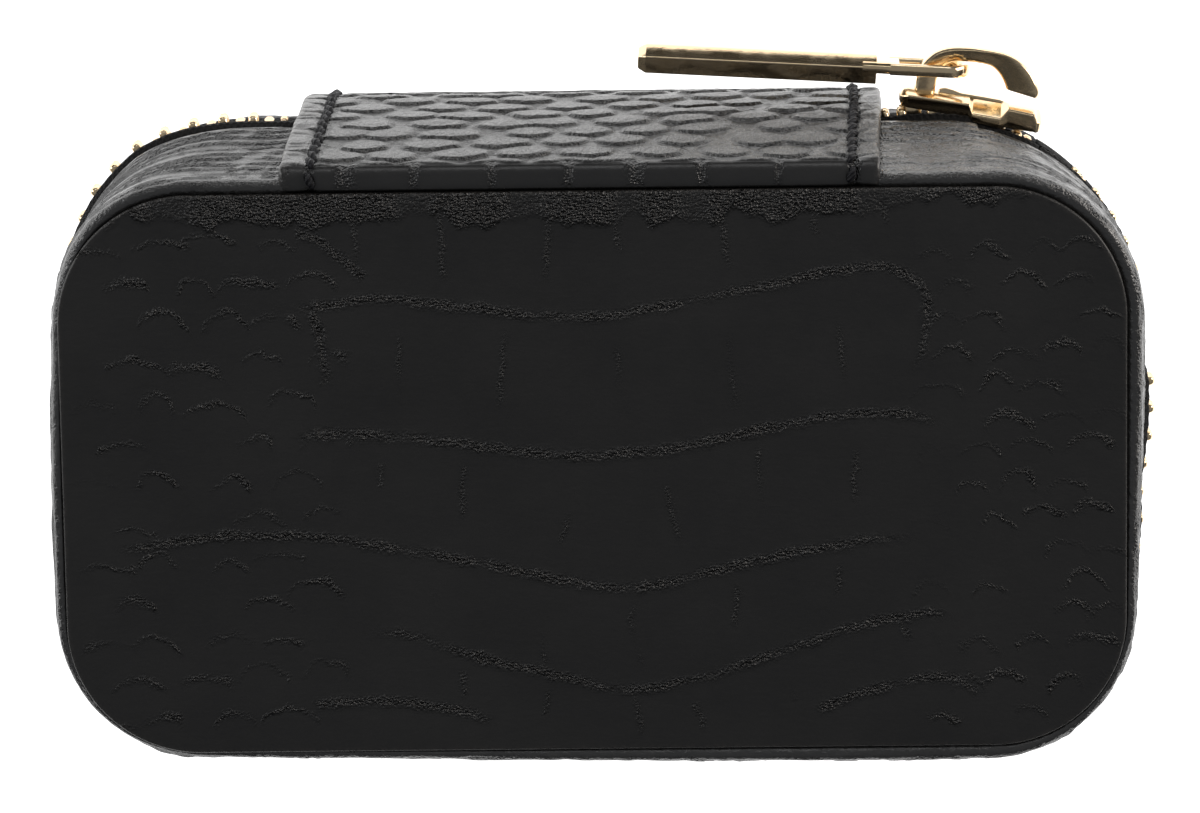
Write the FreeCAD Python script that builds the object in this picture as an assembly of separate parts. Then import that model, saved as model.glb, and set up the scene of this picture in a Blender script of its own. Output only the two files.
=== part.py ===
import FreeCAD, Part
import math
import os

# Zip-around travel jewellery case, lying on its base, lid up, hinge at +Y.
# Millimetres. X left to right, Y front to back, Z up. Z = 0 is the rest face.

# ---------------------------------------------------------------- sizes
Z_ZIP = 19.4            # height of the zip plane above the rest face
Z_TOP = 42.0            # top of the lid panel
ZIP_A, ZIP_B, ZIP_R = 53.1, 29.7, 19.9      # half width, half depth, corner radius of the wall at the zip
LID_A, LID_B, LID_R = 52.0, 28.5, 13.7      # same, at the top edge of the lid wall
BASE_A, BASE_B, BASE_R = 51.2, 27.8, 18.0   # same, at the bottom edge of the base wall
PANEL_A, PANEL_B, PANEL_R = 51.0, 27.52, 12.7       # lid panel
FOOT_A, FOOT_B, FOOT_R = 49.9, 26.5, 16.7           # base panel
EDGE = 6.2              # leather stops this far from the zip plane
EDGE_Z_LID, EDGE_Z_BASE = 39.9, 2.1         # where the wall starts to roll over
ROLL = 0.8              # height of the rolled edge
T_LEATHER = 1.1
T_CORE = 2.8
T_LINING = 0.7
SEAT = 1.85             # depth of the glue seat for the tape
LIP = 3.0               # depth of the relief behind the zip
SEAT_END, LIP_END = 7.7, 4.7
RIM_GAP = 0.3           # each core rim stops this far from the zip plane

SPINE_X0, SPINE_X1 = -29.4, 27.7
SPINE_GAP = 0.12
T_SPINE = 1.6           # leather on a thin backing

TOOTH_PITCH = 2.8
TOOTH_LEN = 1.25
TOOTH_IN, TOOTH_OUT = -1.35, 0.95   # across the wall
TOOTH_Z0, TOOTH_Z1 = 0.5, 2.9
TAPE_IN, TAPE_OUT = -0.5, 0.1

SLIDER_MID = 10.0       # degrees into the back right corner
SLIDER_HALF = 20.7
RUN_END = 31.4          # degrees: the end stretch of the zip stops here
PULL_X, PULL_Y = 36.2, 34.2         # where the pull turns on the bail
PULL_TILT = 3.0
PULL_TIP = 4.4

V = FreeCAD.Vector
os.makedirs("parts", exist_ok=True)
HINGE_Y = ZIP_B + SPINE_GAP + T_SPINE / 2.0
CX, CY = ZIP_A - ZIP_R, ZIP_B - ZIP_R       # corner centre, mirrored for the others


# ---------------------------------------------------------------- helpers
def off(o, t):
    return (o[0] - t, o[1] - t, o[2] - t)


def mix(o1, o2, f):
    return tuple(p + (q - p) * f for p, q in zip(o1, o2))


def ring(o, z):
    a, b, r = o
    k = r * math.sqrt(0.5)
    e = []
    for (cx, cy, a0) in ((a - r, b - r, 0), (-a + r, b - r, 90), (-a + r, -b + r, 180), (a - r, -b + r, 270)):
        p = []
        for d in (0, 45, 90):
            t = math.radians(a0 + d)
            p.append(V(cx + r * math.cos(t), cy + r * math.sin(t), z))
        e.append(p)
    edges = []
    for i in range(4):
        p = e[i]
        q = e[(i + 1) % 4]
        edges.append(Part.Arc(p[0], p[1], p[2]).toShape())
        edges.append(Part.makeLine(p[2], q[0]))
    return Part.Wire(edges)


def loft(o1, z1, o2, z2):
    return Part.makeLoft([ring(o1, z1), ring(o2, z2)], True, True)


def slab(o, z1, z2):
    return Part.Face(ring(o, z1)).extrude(V(0, 0, z2 - z1))


def fuse(items):
    s = items[0]
    if len(items) > 1:
        s = s.multiFuse(items[1:])
        s = s.removeSplitter()
    return s


def cut(s, *tools):
    for t in tools:
        s = s.cut(t)
    return s


def solids(s):
    return s.Solids


def save(name, *shapes):
    parts = []
    for s in shapes:
        parts.extend(solids(s))
    out = parts[0] if len(parts) == 1 else Part.makeCompound(parts)
    bad = [i for i, p in enumerate(parts) if not p.isValid()]
    print(name, len(parts), "solids, volume", round(sum(p.Volume for p in parts), 2), "invalid" if bad else "")
    out.exportStep("parts/%s.step" % name)


def poly(points):
    return Part.Face(Part.makePolygon(points + [points[0]]))


def prism_x(points, x0, x1):
    return poly([V(x0, y, z) for y, z in points]).extrude(V(x1 - x0, 0, 0))


def box(x0, x1, y0, y1, z0, z1):
    return Part.makeBox(x1 - x0, y1 - y0, z1 - z0, V(x0, y0, z0))


ZIP = (ZIP_A, ZIP_B, ZIP_R)
LID = (LID_A, LID_B, LID_R)
BASE = (BASE_A, BASE_B, BASE_R)
Z_LID_EDGE = Z_ZIP + EDGE
Z_BASE_EDGE = Z_ZIP - EDGE


def lid_at(z):
    return mix(ZIP, LID, (z - Z_LID_EDGE) / (EDGE_Z_LID - Z_LID_EDGE))


def base_at(z):
    return mix(ZIP, BASE, (Z_BASE_EDGE - z) / (Z_BASE_EDGE - EDGE_Z_BASE))


def lid_solid(t, z1, z2):
    """Solid inside the lid wall, offset inwards by t, from z1 up to z2."""
    s = []
    if z1 < Z_LID_EDGE:
        s.append(slab(off(ZIP, t), z1, min(z2, Z_LID_EDGE)))
    za, zb = max(z1, Z_LID_EDGE), min(z2, EDGE_Z_LID)
    if zb > za:
        s.append(loft(off(lid_at(za), t), za, off(lid_at(zb), t), zb))
    if z2 > EDGE_Z_LID:
        s.append(slab(off(LID, t), EDGE_Z_LID, z2))
    return fuse(s)


def base_solid(t, z1, z2):
    """Solid inside the base wall, offset inwards by t, from z1 up to z2."""
    s = []
    if z1 < EDGE_Z_BASE:
        s.append(slab(off(BASE, t), z1, EDGE_Z_BASE))
    za, zb = max(z1, EDGE_Z_BASE), min(z2, Z_BASE_EDGE)
    if zb > za:
        s.append(loft(off(base_at(za), t), za, off(base_at(zb), t), zb))
    if z2 > Z_BASE_EDGE:
        s.append(slab(off(ZIP, t), max(z1, Z_BASE_EDGE), z2))
    return fuse(s)


def polar(angle, radius):
    """Point round the back right corner, angle in degrees from straight back, towards the right."""
    t = math.radians(angle)
    return CX + radius * math.sin(t), CY + radius * math.cos(t)


# Relief behind the slider, so it can lean with the zip end as the lid opens.
relief_pts = [V(25.4, 21.6, Z_ZIP - 6.0), V(25.4, 29.2, Z_ZIP - 6.0)]
relief_pts += [V(*polar(a, ZIP_R - 0.6), Z_ZIP - 6.0) for a in (0, 6, 12, 18, 24, 30, 36)]
relief_pts += [V(*polar(a, 11.8), Z_ZIP - 6.0) for a in (36, 24, 12, 0)]
relief = poly(relief_pts).extrude(V(0, 0, 12.0))

# ---------------------------------------------------------------- lid
Z_SHELF = EDGE_Z_LID + ROLL         # top of the lid core
Z_CEIL = Z_SHELF - 2.1
lid_leather = fuse([
    loft(ZIP, Z_LID_EDGE, LID, EDGE_Z_LID),
    loft(LID, EDGE_Z_LID, off(LID, 0.7), Z_SHELF),
])
lid_leather = cut(lid_leather, lid_solid(T_LEATHER, Z_LID_EDGE - 0.5, Z_SHELF + 0.5))
save("lid_wall_leather", lid_leather)

lid_core = fuse([
    lid_solid(T_LEATHER, Z_ZIP + SEAT_END, Z_SHELF),
    slab(off(ZIP, SEAT), Z_ZIP + LIP_END, Z_ZIP + SEAT_END),
    slab(off(ZIP, LIP), Z_ZIP + RIM_GAP, Z_ZIP + LIP_END),
])
lid_core = cut(lid_core, lid_solid(T_LEATHER + T_CORE, Z_ZIP - 0.5, Z_CEIL), relief)
save("lid_core", lid_core)

lid_lining = cut(
    lid_solid(T_LEATHER + T_CORE, Z_ZIP + 0.5, Z_CEIL - 1.0),
    lid_solid(T_LEATHER + T_CORE + T_LINING, Z_ZIP, Z_CEIL),
    relief,
)
save("lid_wall_lining", lid_lining)
save("lid_ceiling_lining", lid_solid(T_LEATHER + T_CORE, Z_CEIL - 1.0, Z_CEIL))

PANEL = (PANEL_A, PANEL_B, PANEL_R)
lid_board = slab(off(PANEL, 0.7), Z_SHELF + 0.05, Z_TOP - 0.7)
lid_skin = fuse([
    slab(PANEL, Z_SHELF + 0.05, Z_TOP - 0.45),
    loft(PANEL, Z_TOP - 0.45, off(PANEL, 0.4), Z_TOP),
])
lid_skin = lid_skin.cut(slab(off(PANEL, 0.7), Z_SHELF - 0.5, Z_TOP - 0.7))
save("lid_panel_board", lid_board)
save("lid_panel_leather", lid_skin)

POCKET_X, POCKET_Y0, POCKET_Y1 = 37.0, -8.0, 19.5
POCKET_Z = Z_CEIL - 5.2
Z_POCKET_TOP = Z_CEIL - 1.0
pocket = box(-POCKET_X, POCKET_X, POCKET_Y0, POCKET_Y1, POCKET_Z, Z_POCKET_TOP).cut(
    box(-POCKET_X + 0.9, POCKET_X - 0.9, POCKET_Y0 - 1, POCKET_Y1 - 0.9, POCKET_Z + 0.9, Z_POCKET_TOP + 1))
save("lid_pocket", pocket)
save("lid_pocket_elastic", box(-POCKET_X, POCKET_X, POCKET_Y0 - 3.2, POCKET_Y0 - 0.02, POCKET_Z - 0.1, POCKET_Z + 1.1))

# ---------------------------------------------------------------- base
Z_SOLE = EDGE_Z_BASE - ROLL         # underside of the base core
Z_FLOOR = Z_SOLE + 2.0
base_leather = fuse([
    loft(BASE, EDGE_Z_BASE, ZIP, Z_BASE_EDGE),
    loft(off(BASE, 0.7), Z_SOLE, BASE, EDGE_Z_BASE),
])
base_leather = cut(base_leather, base_solid(T_LEATHER, Z_SOLE - 0.5, Z_BASE_EDGE + 0.5))
save("base_wall_leather", base_leather)

base_core = fuse([
    base_solid(T_LEATHER, Z_SOLE, Z_ZIP - SEAT_END),
    slab(off(ZIP, SEAT), Z_ZIP - SEAT_END, Z_ZIP - LIP_END),
    slab(off(ZIP, LIP), Z_ZIP - LIP_END, Z_ZIP - RIM_GAP),
])
base_core = cut(base_core, base_solid(T_LEATHER + T_CORE, Z_FLOOR, Z_ZIP + 0.5), relief)
save("base_core", base_core)

Z_PAD = Z_FLOOR + 0.8
save("base_floor_lining", base_solid(T_LEATHER + T_CORE, Z_FLOOR, Z_PAD))
base_lining = cut(
    base_solid(T_LEATHER + T_CORE, Z_PAD, Z_ZIP - 0.5),
    base_solid(T_LEATHER + T_CORE + T_LINING, Z_PAD - 0.3, Z_ZIP + 0.5),
    relief,
)
save("base_wall_lining", base_lining)

FOOT = (FOOT_A, FOOT_B, FOOT_R)
base_board = slab(off(FOOT, 0.7), 0.7, Z_SOLE - 0.05)
base_skin = fuse([
    slab(FOOT, 0.35, Z_SOLE - 0.05),
    loft(off(FOOT, 0.3), 0.0, FOOT, 0.35),
])
base_skin = base_skin.cut(slab(off(FOOT, 0.7), 0.7, Z_SOLE + 0.5))
save("base_panel_board", base_board)
save("base_panel_leather", base_skin)

# Ring rolls: foam rolls under velvet, lying left to right in the left bay.
ROLL_W, ROLL_H, ROLL_X0, ROLL_X1 = 9.6, 12.2, -40.3, -3.6
rolls = []
for i in range(4):
    yc = -15.3 + 10.2 * i
    h = ROLL_W / 2.0
    zt = Z_PAD + ROLL_H
    lower = [V(ROLL_X0, yc - h, Z_PAD), V(ROLL_X0, yc + h, Z_PAD), V(ROLL_X0, yc + h, zt - h), V(ROLL_X0, yc - h, zt - h)]
    edges = [Part.makeLine(lower[0], lower[1]), Part.makeLine(lower[1], lower[2]),
             Part.Arc(lower[2], V(ROLL_X0, yc, zt), lower[3]).toShape(), Part.makeLine(lower[3], lower[0])]
    rolls.append(Part.Face(Part.Wire(edges)).extrude(V(ROLL_X1 - ROLL_X0, 0, 0)))
save("ring_rolls", *rolls)

DIV_T = 2.0
Z_DIV = Z_PAD + 12.6
inside = base_solid(T_LEATHER + T_CORE + T_LINING, Z_PAD, Z_DIV)
div_long = box(-2.5, -2.5 + DIV_T, -40, 40, Z_PAD, Z_DIV).common(inside)
div_cross = box(-2.5 + DIV_T, 60, 3.6, 3.6 + DIV_T, Z_PAD, Z_DIV).common(inside)
save("divider_long", div_long)
save("divider_cross", div_cross)

# ---------------------------------------------------------------- leather hinge
x0, x1 = SPINE_X0, SPINE_X1
yi = ZIP_B + SPINE_GAP
yo = yi + T_SPINE
base_spine = prism_x([
    (yi, Z_ZIP), (yi, Z_BASE_EDGE), (BASE_B + SPINE_GAP, EDGE_Z_BASE),
    (BASE_B + SPINE_GAP + T_SPINE, EDGE_Z_BASE), (yo, Z_BASE_EDGE), (yo, Z_ZIP)], x0, x1)
knuckle = Part.makeCylinder(T_SPINE / 2.0, x1 - x0, V(x0, HINGE_Y, Z_ZIP), V(1, 0, 0))
base_spine = fuse([base_spine, knuckle])
save("base_spine_leather", base_spine)

Z_FLAP = Z_ZIP + T_SPINE / 2.0 + 0.25
lid_spine = prism_x([
    (yi, Z_FLAP), (yo, Z_FLAP), (yo, Z_LID_EDGE), (LID_B + SPINE_GAP + T_SPINE, EDGE_Z_LID),
    (LID_B - 0.1, Z_SHELF + 0.42), (LID_B - 0.62, Z_SHELF + 0.05), (LID_B + SPINE_GAP, EDGE_Z_LID), (yi, Z_LID_EDGE)], x0, x1)
save("lid_spine_leather", lid_spine)

STITCH, STITCH_PITCH, STITCH_W, STITCH_H = 1.75, 2.35, 0.55, 0.34
STITCH_IN = 2.4


def stitches(y_low, z_low, y_high, z_high):
    out = []
    length = math.hypot(y_high - y_low, z_high - z_low)
    ty, tz = (y_high - y_low) / length, (z_high - z_low) / length
    ny, nz = tz, -ty
    n = int(length / STITCH_PITCH)
    lead = (length - n * STITCH_PITCH) / 2.0 + (STITCH_PITCH - STITCH) / 2.0
    for xc in (SPINE_X0 + STITCH_IN, SPINE_X1 - STITCH_IN):
        for i in range(n):
            s0 = lead + i * STITCH_PITCH
            s1 = s0 + STITCH
            pts = []
            for s, h in ((s0, 0.01), (s1, 0.01), (s1 - 0.2, STITCH_H), (s0 + 0.2, STITCH_H)):
                pts.append((y_low + ty * s + ny * h, z_low + tz * s + nz * h))
            out.append(prism_x(pts, xc - STITCH_W / 2.0, xc + STITCH_W / 2.0))
    return out


save("lid_spine_stitches", *(stitches(yo, Z_FLAP + 0.6, yo, Z_LID_EDGE) +
                             stitches(yo, Z_LID_EDGE, LID_B + SPINE_GAP + T_SPINE, EDGE_Z_LID)))
save("base_spine_stitches", *(stitches(yo, Z_BASE_EDGE, yo, Z_ZIP - 0.6) +
                              stitches(BASE_B + SPINE_GAP + T_SPINE, EDGE_Z_BASE, yo, Z_BASE_EDGE)))

# Lining strip over the inside of the hinge, fixed to the base, bends as the lid opens.
hl_y = ZIP_B - T_LEATHER - T_CORE - T_LINING - 0.35
save("hinge_lining", box(-27.0, 24.8, hl_y - 0.45, hl_y, Z_DIV + 0.3, Z_ZIP + 3.6))

# ---------------------------------------------------------------- zip
# Stretches of the zip path, from the left end of the spine round the front to the back right corner.
# Each is (kind, x, y, outward start angle, length in mm or degrees).
runs = [
    ("line", SPINE_X0 + 1.0, ZIP_B, 90.0, SPINE_X0 + 1.0 + CX),
    ("arc", -CX, CY, 90.0, 90.0),
    ("line", -ZIP_A, CY, 180.0, 2 * CY),
    ("arc", -CX, -CY, 180.0, 90.0),
    ("line", -CX, -ZIP_B, 270.0, 2 * CX),
    ("arc", CX, -CY, 270.0, 90.0),
    ("line", ZIP_A, -CY, 0.0, 2 * CY),
    ("arc", CX, CY, 0.0, 90.0 - RUN_END),
]


def unit(angle):
    t = math.radians(angle)
    return math.cos(t), math.sin(t)


def sweep(profile, stretches):
    """Carry a profile of (out, z) points along the stretches."""
    out = []
    for kind, x, y, a0, amount in stretches:
        nx, ny = unit(a0)
        if kind == "line":
            face = poly([V(x + nx * s, y + ny * s, z) for s, z in profile])
            out.append(face.extrude(V(-ny * amount, nx * amount, 0)))
        else:
            face = poly([V(x + nx * (ZIP_R + s), y + ny * (ZIP_R + s), z) for s, z in profile])
            out.append(face.revolve(V(x, y, 0), V(0, 0, 1), amount))
    return fuse(out)


def at_length(stretches, length):
    """Point, outward normal on the path at a length along it."""
    for kind, x, y, a0, amount in stretches:
        span = amount if kind == "line" else math.radians(amount) * ZIP_R
        if length <= span:
            if kind == "line":
                nx, ny = unit(a0)
                return x - ny * length, y + nx * length, nx, ny
            nx, ny = unit(a0 + math.degrees(length / ZIP_R))
            return x + nx * ZIP_R, y + ny * ZIP_R, nx, ny
        length -= span
    return None


def total(stretches):
    return sum(r[4] if r[0] == "line" else math.radians(r[4]) * ZIP_R for r in stretches)


def tooth(stretches, length, side, width=TOOTH_LEN):
    x, y, nx, ny = at_length(stretches, length)
    prof = [(TOOTH_IN, TOOTH_Z0), (TOOTH_OUT, TOOTH_Z0), (TOOTH_OUT, TOOTH_Z1), (TAPE_OUT + 0.05, TOOTH_Z1),
            (TAPE_OUT + 0.05, 1.7), (TAPE_IN - 0.05, 1.7), (TAPE_IN - 0.05, TOOTH_Z1), (TOOTH_IN, TOOTH_Z1)]
    tx, ty = -ny, nx
    h = width / 2.0
    pts = [V(x + nx * s - tx * h, y + ny * s - ty * h, Z_ZIP + side * z) for s, z in prof]
    return poly(pts).extrude(V(tx * width, ty * width, 0))


def tape(side):
    prof = [(TAPE_IN, 1.75), (TAPE_OUT, 1.75), (TAPE_OUT, 4.25), (-1.28, 6.05), (-1.28, 7.4), (-1.8, 7.4), (-1.8, 5.75), (TAPE_IN, 4.0)]
    return [(s, Z_ZIP + side * z) for s, z in prof]


length = total(runs)
save("base_zip_tape", sweep(tape(-1), runs))
save("lid_zip_tape", sweep(tape(1), runs))

first = 1.0 + 0.35 + 1.0        # past the tucked end and the stop
n_teeth = int((length - first - 1.6) / TOOTH_PITCH)
save("base_zip_teeth", *[tooth(runs, first + 1.0 + TOOTH_PITCH * i, -1) for i in range(n_teeth)])
save("lid_zip_teeth", *[tooth(runs, first + 2.4 + TOOTH_PITCH * i, 1) for i in range(n_teeth)])
save("base_zip_stop", tooth(runs, 1.0 + 0.35 + 0.5, -1, 1.0))
save("lid_zip_stop", tooth(runs, 1.0 + 0.35 + 0.5, 1, 1.0))

# The end of the zip, held by the slider, leans half way between base and lid.
end_runs = [("arc", CX, CY, 90.0 - RUN_END + 1.0, RUN_END - 1.0 + 15.5)]
end_prof = [(TAPE_IN, 1.75), (TAPE_OUT, 1.75), (TAPE_OUT, 4.2), (TAPE_IN, 4.2)]
save("zip_end_tape", *[sweep([(s, Z_ZIP + k * z) for s, z in end_prof], end_runs) for k in (1, -1)])
end_len = total(end_runs)
deg = math.radians(1.0) * ZIP_R
end_teeth = []
for k, lead in ((-1, 0.9), (1, 2.3)):
    s = lead
    while s < (RUN_END - 1.0 + 10.4) * deg:
        end_teeth.append(tooth(end_runs, s, k))
        s += TOOTH_PITCH
save("zip_end_teeth", *end_teeth)
stop_at = (RUN_END - 1.0 + 12.75) * deg
save("zip_top_stops", tooth(end_runs, stop_at, 1, 0.95), tooth(end_runs, stop_at, -1, 0.95))

# ---------------------------------------------------------------- slider
R_CHAIN = ZIP_R + (TOOTH_IN + TOOTH_OUT) / 2.0
CH_IN, CH_OUT = ZIP_R + TOOTH_IN - 0.3, ZIP_R + TOOTH_OUT + 0.3
PL_IN, PL_OUT = CH_IN - 0.9, CH_OUT + 2.05
FL_Z0, FL_Z1 = 3.2, 4.1
GAP_IN, GAP_OUT = ZIP_R + TAPE_IN - 0.2, ZIP_R + TAPE_OUT + 0.2
a_start = 90.0 - (SLIDER_MID + SLIDER_HALF)


def turned(profile, a0=a_start, sweep_deg=2 * SLIDER_HALF):
    nx, ny = unit(a0)
    face = poly([V(CX + nx * r, CY + ny * r, Z_ZIP + z) for r, z in profile])
    return face.revolve(V(CX, CY, 0), V(0, 0, 1), sweep_deg)


top_plate = turned([(CH_OUT, -FL_Z0), (GAP_OUT, -FL_Z0), (GAP_OUT, -FL_Z1), (PL_OUT, -FL_Z1),
                    (PL_OUT, FL_Z1), (GAP_OUT, FL_Z1), (GAP_OUT, FL_Z0), (CH_OUT, FL_Z0)])
low_plate = turned([(CH_IN, -FL_Z0), (GAP_IN, -FL_Z0), (GAP_IN, -FL_Z1), (PL_IN, -FL_Z1),
                    (PL_IN, FL_Z1), (GAP_IN, FL_Z1), (GAP_IN, FL_Z0), (CH_IN, FL_Z0)])
neck = turned([(CH_IN - 0.2, -0.28), (CH_OUT + 0.2, -0.28), (CH_OUT + 0.2, 0.28), (CH_IN - 0.2, 0.28)], 90.0 + 3.0, 6.0)
t_mid = math.radians(SLIDER_MID)
TU = V(math.cos(t_mid), -math.sin(t_mid), 0)
TV = V(math.sin(t_mid), math.cos(t_mid), 0)
MID = V(CX, CY, Z_ZIP) + TV * R_CHAIN


def local(u, v, w):
    return MID + TU * u + TV * v + V(0, 0, w)


plan = [(-7.2, 2.3), (-6.7, 3.2), (-5.2, 4.0), (-1.0, 4.1), (2.2, 3.85), (6.2, 3.75), (6.9, 3.3), (7.1, 2.4)]
plan = plan + [(u, -w) for u, w in reversed(plan)]
outline = poly([local(u, -4.0, w) for u, w in plan]).extrude(TV * 8.0)
slider = fuse([top_plate, low_plate, neck]).common(outline)
save("slider_body", slider)

hook_out = [(-5.7, 2.6), (-5.75, 5.4), (-5.35, 6.7), (-4.3, 7.7), (-2.6, 8.25), (-0.2, 8.3), (2.2, 7.85), (4.3, 6.9), (5.8, 5.65), (6.65, 4.2)]
hook_in = [(4.95, 3.95), (4.2, 5.05), (2.9, 5.95), (1.2, 6.45), (-0.7, 6.62), (-2.5, 6.5), (-3.35, 5.9), (-3.65, 5.0), (-3.65, 2.6)]
BAIL_W = 1.1
drum = Part.makeCylinder(PL_OUT, 12, V(CX, CY, Z_ZIP - 6))
bail = poly([local(u, v, -BAIL_W) for u, v in hook_out + hook_in]).extrude(V(0, 0, 2 * BAIL_W)).cut(drum)
save("slider_bail", bail)
lock = poly([local(-3.4, 2.5, -0.7), local(4.6, 2.5, -0.7), local(4.6, 3.45, -0.7), local(3.6, 3.78, -0.7), local(-3.4, 3.83, -0.7)])
lock = lock.extrude(V(0, 0, 1.4)).cut(drum)
save("slider_lock", lock)

# ---------------------------------------------------------------- pull
PULL_W, PULL_T, EYE_T = 2.2, 2.0, 1.2
EYE_W, EYE_HOLE = 2.2, 1.42
HOLE_END = 6.1          # hole runs this far from the turning axis
axis = V(PULL_X, PULL_Y, Z_ZIP)


def bar(x0, x1, prof):
    """Bar along -X from the turning axis, profile of (out, z) points."""
    return poly([axis + V(-x0, s, z) for s, z in prof]).extrude(V(-(x1 - x0), 0, 0))


def octagon(w, t, c):
    h = t / 2.0
    return [(-h, -w + c), (-h + c, -w), (h - c, -w), (h, -w + c), (h, w - c), (h - c, w), (-h + c, w), (-h, w - c)]


reach = PULL_X - PULL_TIP
side = [bar(0.0, 8.0, [(-EYE_T / 2, k * EYE_HOLE), (EYE_T / 2, k * EYE_HOLE), (EYE_T / 2, k * EYE_W), (-EYE_T / 2, k * EYE_W)]) for k in (1, -1)]
end = Part.makeCylinder(EYE_T / 2.0, 2 * EYE_W, axis + V(0, 0, -EYE_W), V(0, 0, 1))
stem = bar(HOLE_END, 8.0, octagon(EYE_W, EYE_T, 0.3))
body = bar(7.4, reach - 0.9, octagon(PULL_W, PULL_T, 0.95))
face_a = Part.makePolygon([axis + V(-(reach - 0.9), s, z) for s, z in octagon(PULL_W, PULL_T, 0.95)] + [axis + V(-(reach - 0.9), -PULL_T / 2, -PULL_W + 0.95)])
face_b = Part.makePolygon([axis + V(-reach, s, z) for s, z in octagon(PULL_W - 0.5, PULL_T - 0.9, 0.5)] + [axis + V(-reach, -(PULL_T - 0.9) / 2, -PULL_W + 1.0)])
tip = Part.makeLoft([face_a, face_b], True, True)
pull = fuse(side + [end, stem, body, tip])
pull.rotate(axis, V(0, 0, 1), -PULL_TILT)
save("pull_tab", pull)
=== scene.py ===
import math

import bmesh
import bpy
import numpy as np
from mathutils import Matrix, Vector


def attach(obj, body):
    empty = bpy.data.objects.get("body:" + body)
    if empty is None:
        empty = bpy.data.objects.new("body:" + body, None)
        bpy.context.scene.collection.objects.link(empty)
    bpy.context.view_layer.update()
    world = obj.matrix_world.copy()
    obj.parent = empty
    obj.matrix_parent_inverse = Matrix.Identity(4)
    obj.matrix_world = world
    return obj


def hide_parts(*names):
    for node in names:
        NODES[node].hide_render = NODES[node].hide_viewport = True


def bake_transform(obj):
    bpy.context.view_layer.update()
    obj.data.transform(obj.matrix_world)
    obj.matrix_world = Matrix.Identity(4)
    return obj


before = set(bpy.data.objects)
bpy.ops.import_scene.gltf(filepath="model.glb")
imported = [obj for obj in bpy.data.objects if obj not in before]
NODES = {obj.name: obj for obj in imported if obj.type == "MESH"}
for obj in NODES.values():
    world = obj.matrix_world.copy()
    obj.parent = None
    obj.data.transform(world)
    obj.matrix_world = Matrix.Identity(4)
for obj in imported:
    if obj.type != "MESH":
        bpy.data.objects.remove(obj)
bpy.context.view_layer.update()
MM = 0.001

# ------------------------------------------------------------------ sizes, mm, as in the CAD model
Z_ZIP, Z_TOP = 19.4, 42.0
ZIP = (53.1, 29.7, 19.9)
LID = (52.0, 28.5, 13.7)
BASE = (51.2, 27.8, 18.0)
PANEL = (51.0, 27.52, 12.7)
FOOT = (49.9, 26.5, 16.7)
Z_LID_EDGE, Z_BASE_EDGE = Z_ZIP + 6.2, Z_ZIP - 6.2
LID_ROLL_Z, BASE_ROLL_Z = 39.9, 2.1
Z_SHELF, Z_SOLE = 40.7, 1.3
Z_CEIL, Z_FLOOR, Z_PAD = 38.6, 3.3, 4.1
SPINE_X0, SPINE_X1 = -29.4, 28.05
CX, CY = ZIP[0] - ZIP[2], ZIP[1] - ZIP[2]
HINGE = (0.0, 30.62, 19.4)
RUN_END = 31.4


# ------------------------------------------------------------------ small maths
def smooth01(t):
    t = np.clip(t, 0.0, 1.0)
    return t * t * (3 - 2 * t)


def hash01(ix, iy, seed):
    n = (np.asarray(ix, np.int64) * 374761393 + np.asarray(iy, np.int64) * 668265263 + seed * 974634777) & 0xFFFFFFFF
    n = ((n ^ (n >> 13)) * 1274126177) & 0xFFFFFFFF
    n = ((n ^ (n >> 15)) * 1103515245) & 0xFFFFFFFF
    return ((n ^ (n >> 16)) & 0xFFFFFF) / float(0x1000000)


def vnoise(x, y, seed):
    """Smooth value noise, 0 to 1, one cell per unit."""
    x, y = np.broadcast_arrays(np.asarray(x, float), np.asarray(y, float))
    ix, iy = np.floor(x).astype(np.int64), np.floor(y).astype(np.int64)
    fx, fy = smooth01(x - ix), smooth01(y - iy)
    a = hash01(ix, iy, seed) * (1 - fx) + hash01(ix + 1, iy, seed) * fx
    b = hash01(ix, iy + 1, seed) * (1 - fx) + hash01(ix + 1, iy + 1, seed) * fx
    return a * (1 - fy) + b * fy


def fbm(x, y, seed, octaves=3):
    total, amp, norm = 0.0, 1.0, 0.0
    for k in range(octaves):
        total = total + amp * vnoise(np.asarray(x) * 2 ** k, np.asarray(y) * 2 ** k, seed + 17 * k)
        norm += amp
        amp *= 0.5
    return total / norm


def scales(u, v, su, sv, seed, jit=0.2):
    """Brick-laid scales. Returns the nearest and second nearest distance in cell units, the offset from the nearest centre and a random number per scale."""
    U, W = u / su, v / sv
    r0 = np.floor(W).astype(np.int64)
    f1 = np.full(U.shape, 9.0)
    f2 = np.full(U.shape, 9.0)
    dx, dy, rid = np.zeros(U.shape), np.zeros(U.shape), np.zeros(U.shape)
    for dr in (-1, 0, 1):
        r = r0 + dr
        o = 0.5 * (r % 2)
        c0 = np.floor(U - o).astype(np.int64)
        for dc in (-1, 0, 1):
            c = c0 + dc
            px = c + o + 0.5 + (hash01(c, r, seed) - 0.5) * 2 * jit
            py = r + 0.5 + (hash01(c, r, seed + 7) - 0.5) * jit
            d = np.hypot(U - px, W - py)
            near = d < f1
            f2 = np.where(near, f1, np.minimum(f2, d))
            dx = np.where(near, U - px, dx)
            dy = np.where(near, W - py, dy)
            rid = np.where(near, hash01(c, r, seed + 13), rid)
            f1 = np.where(near, d, f1)
    return f1, f2, dx, dy, rid


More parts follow.
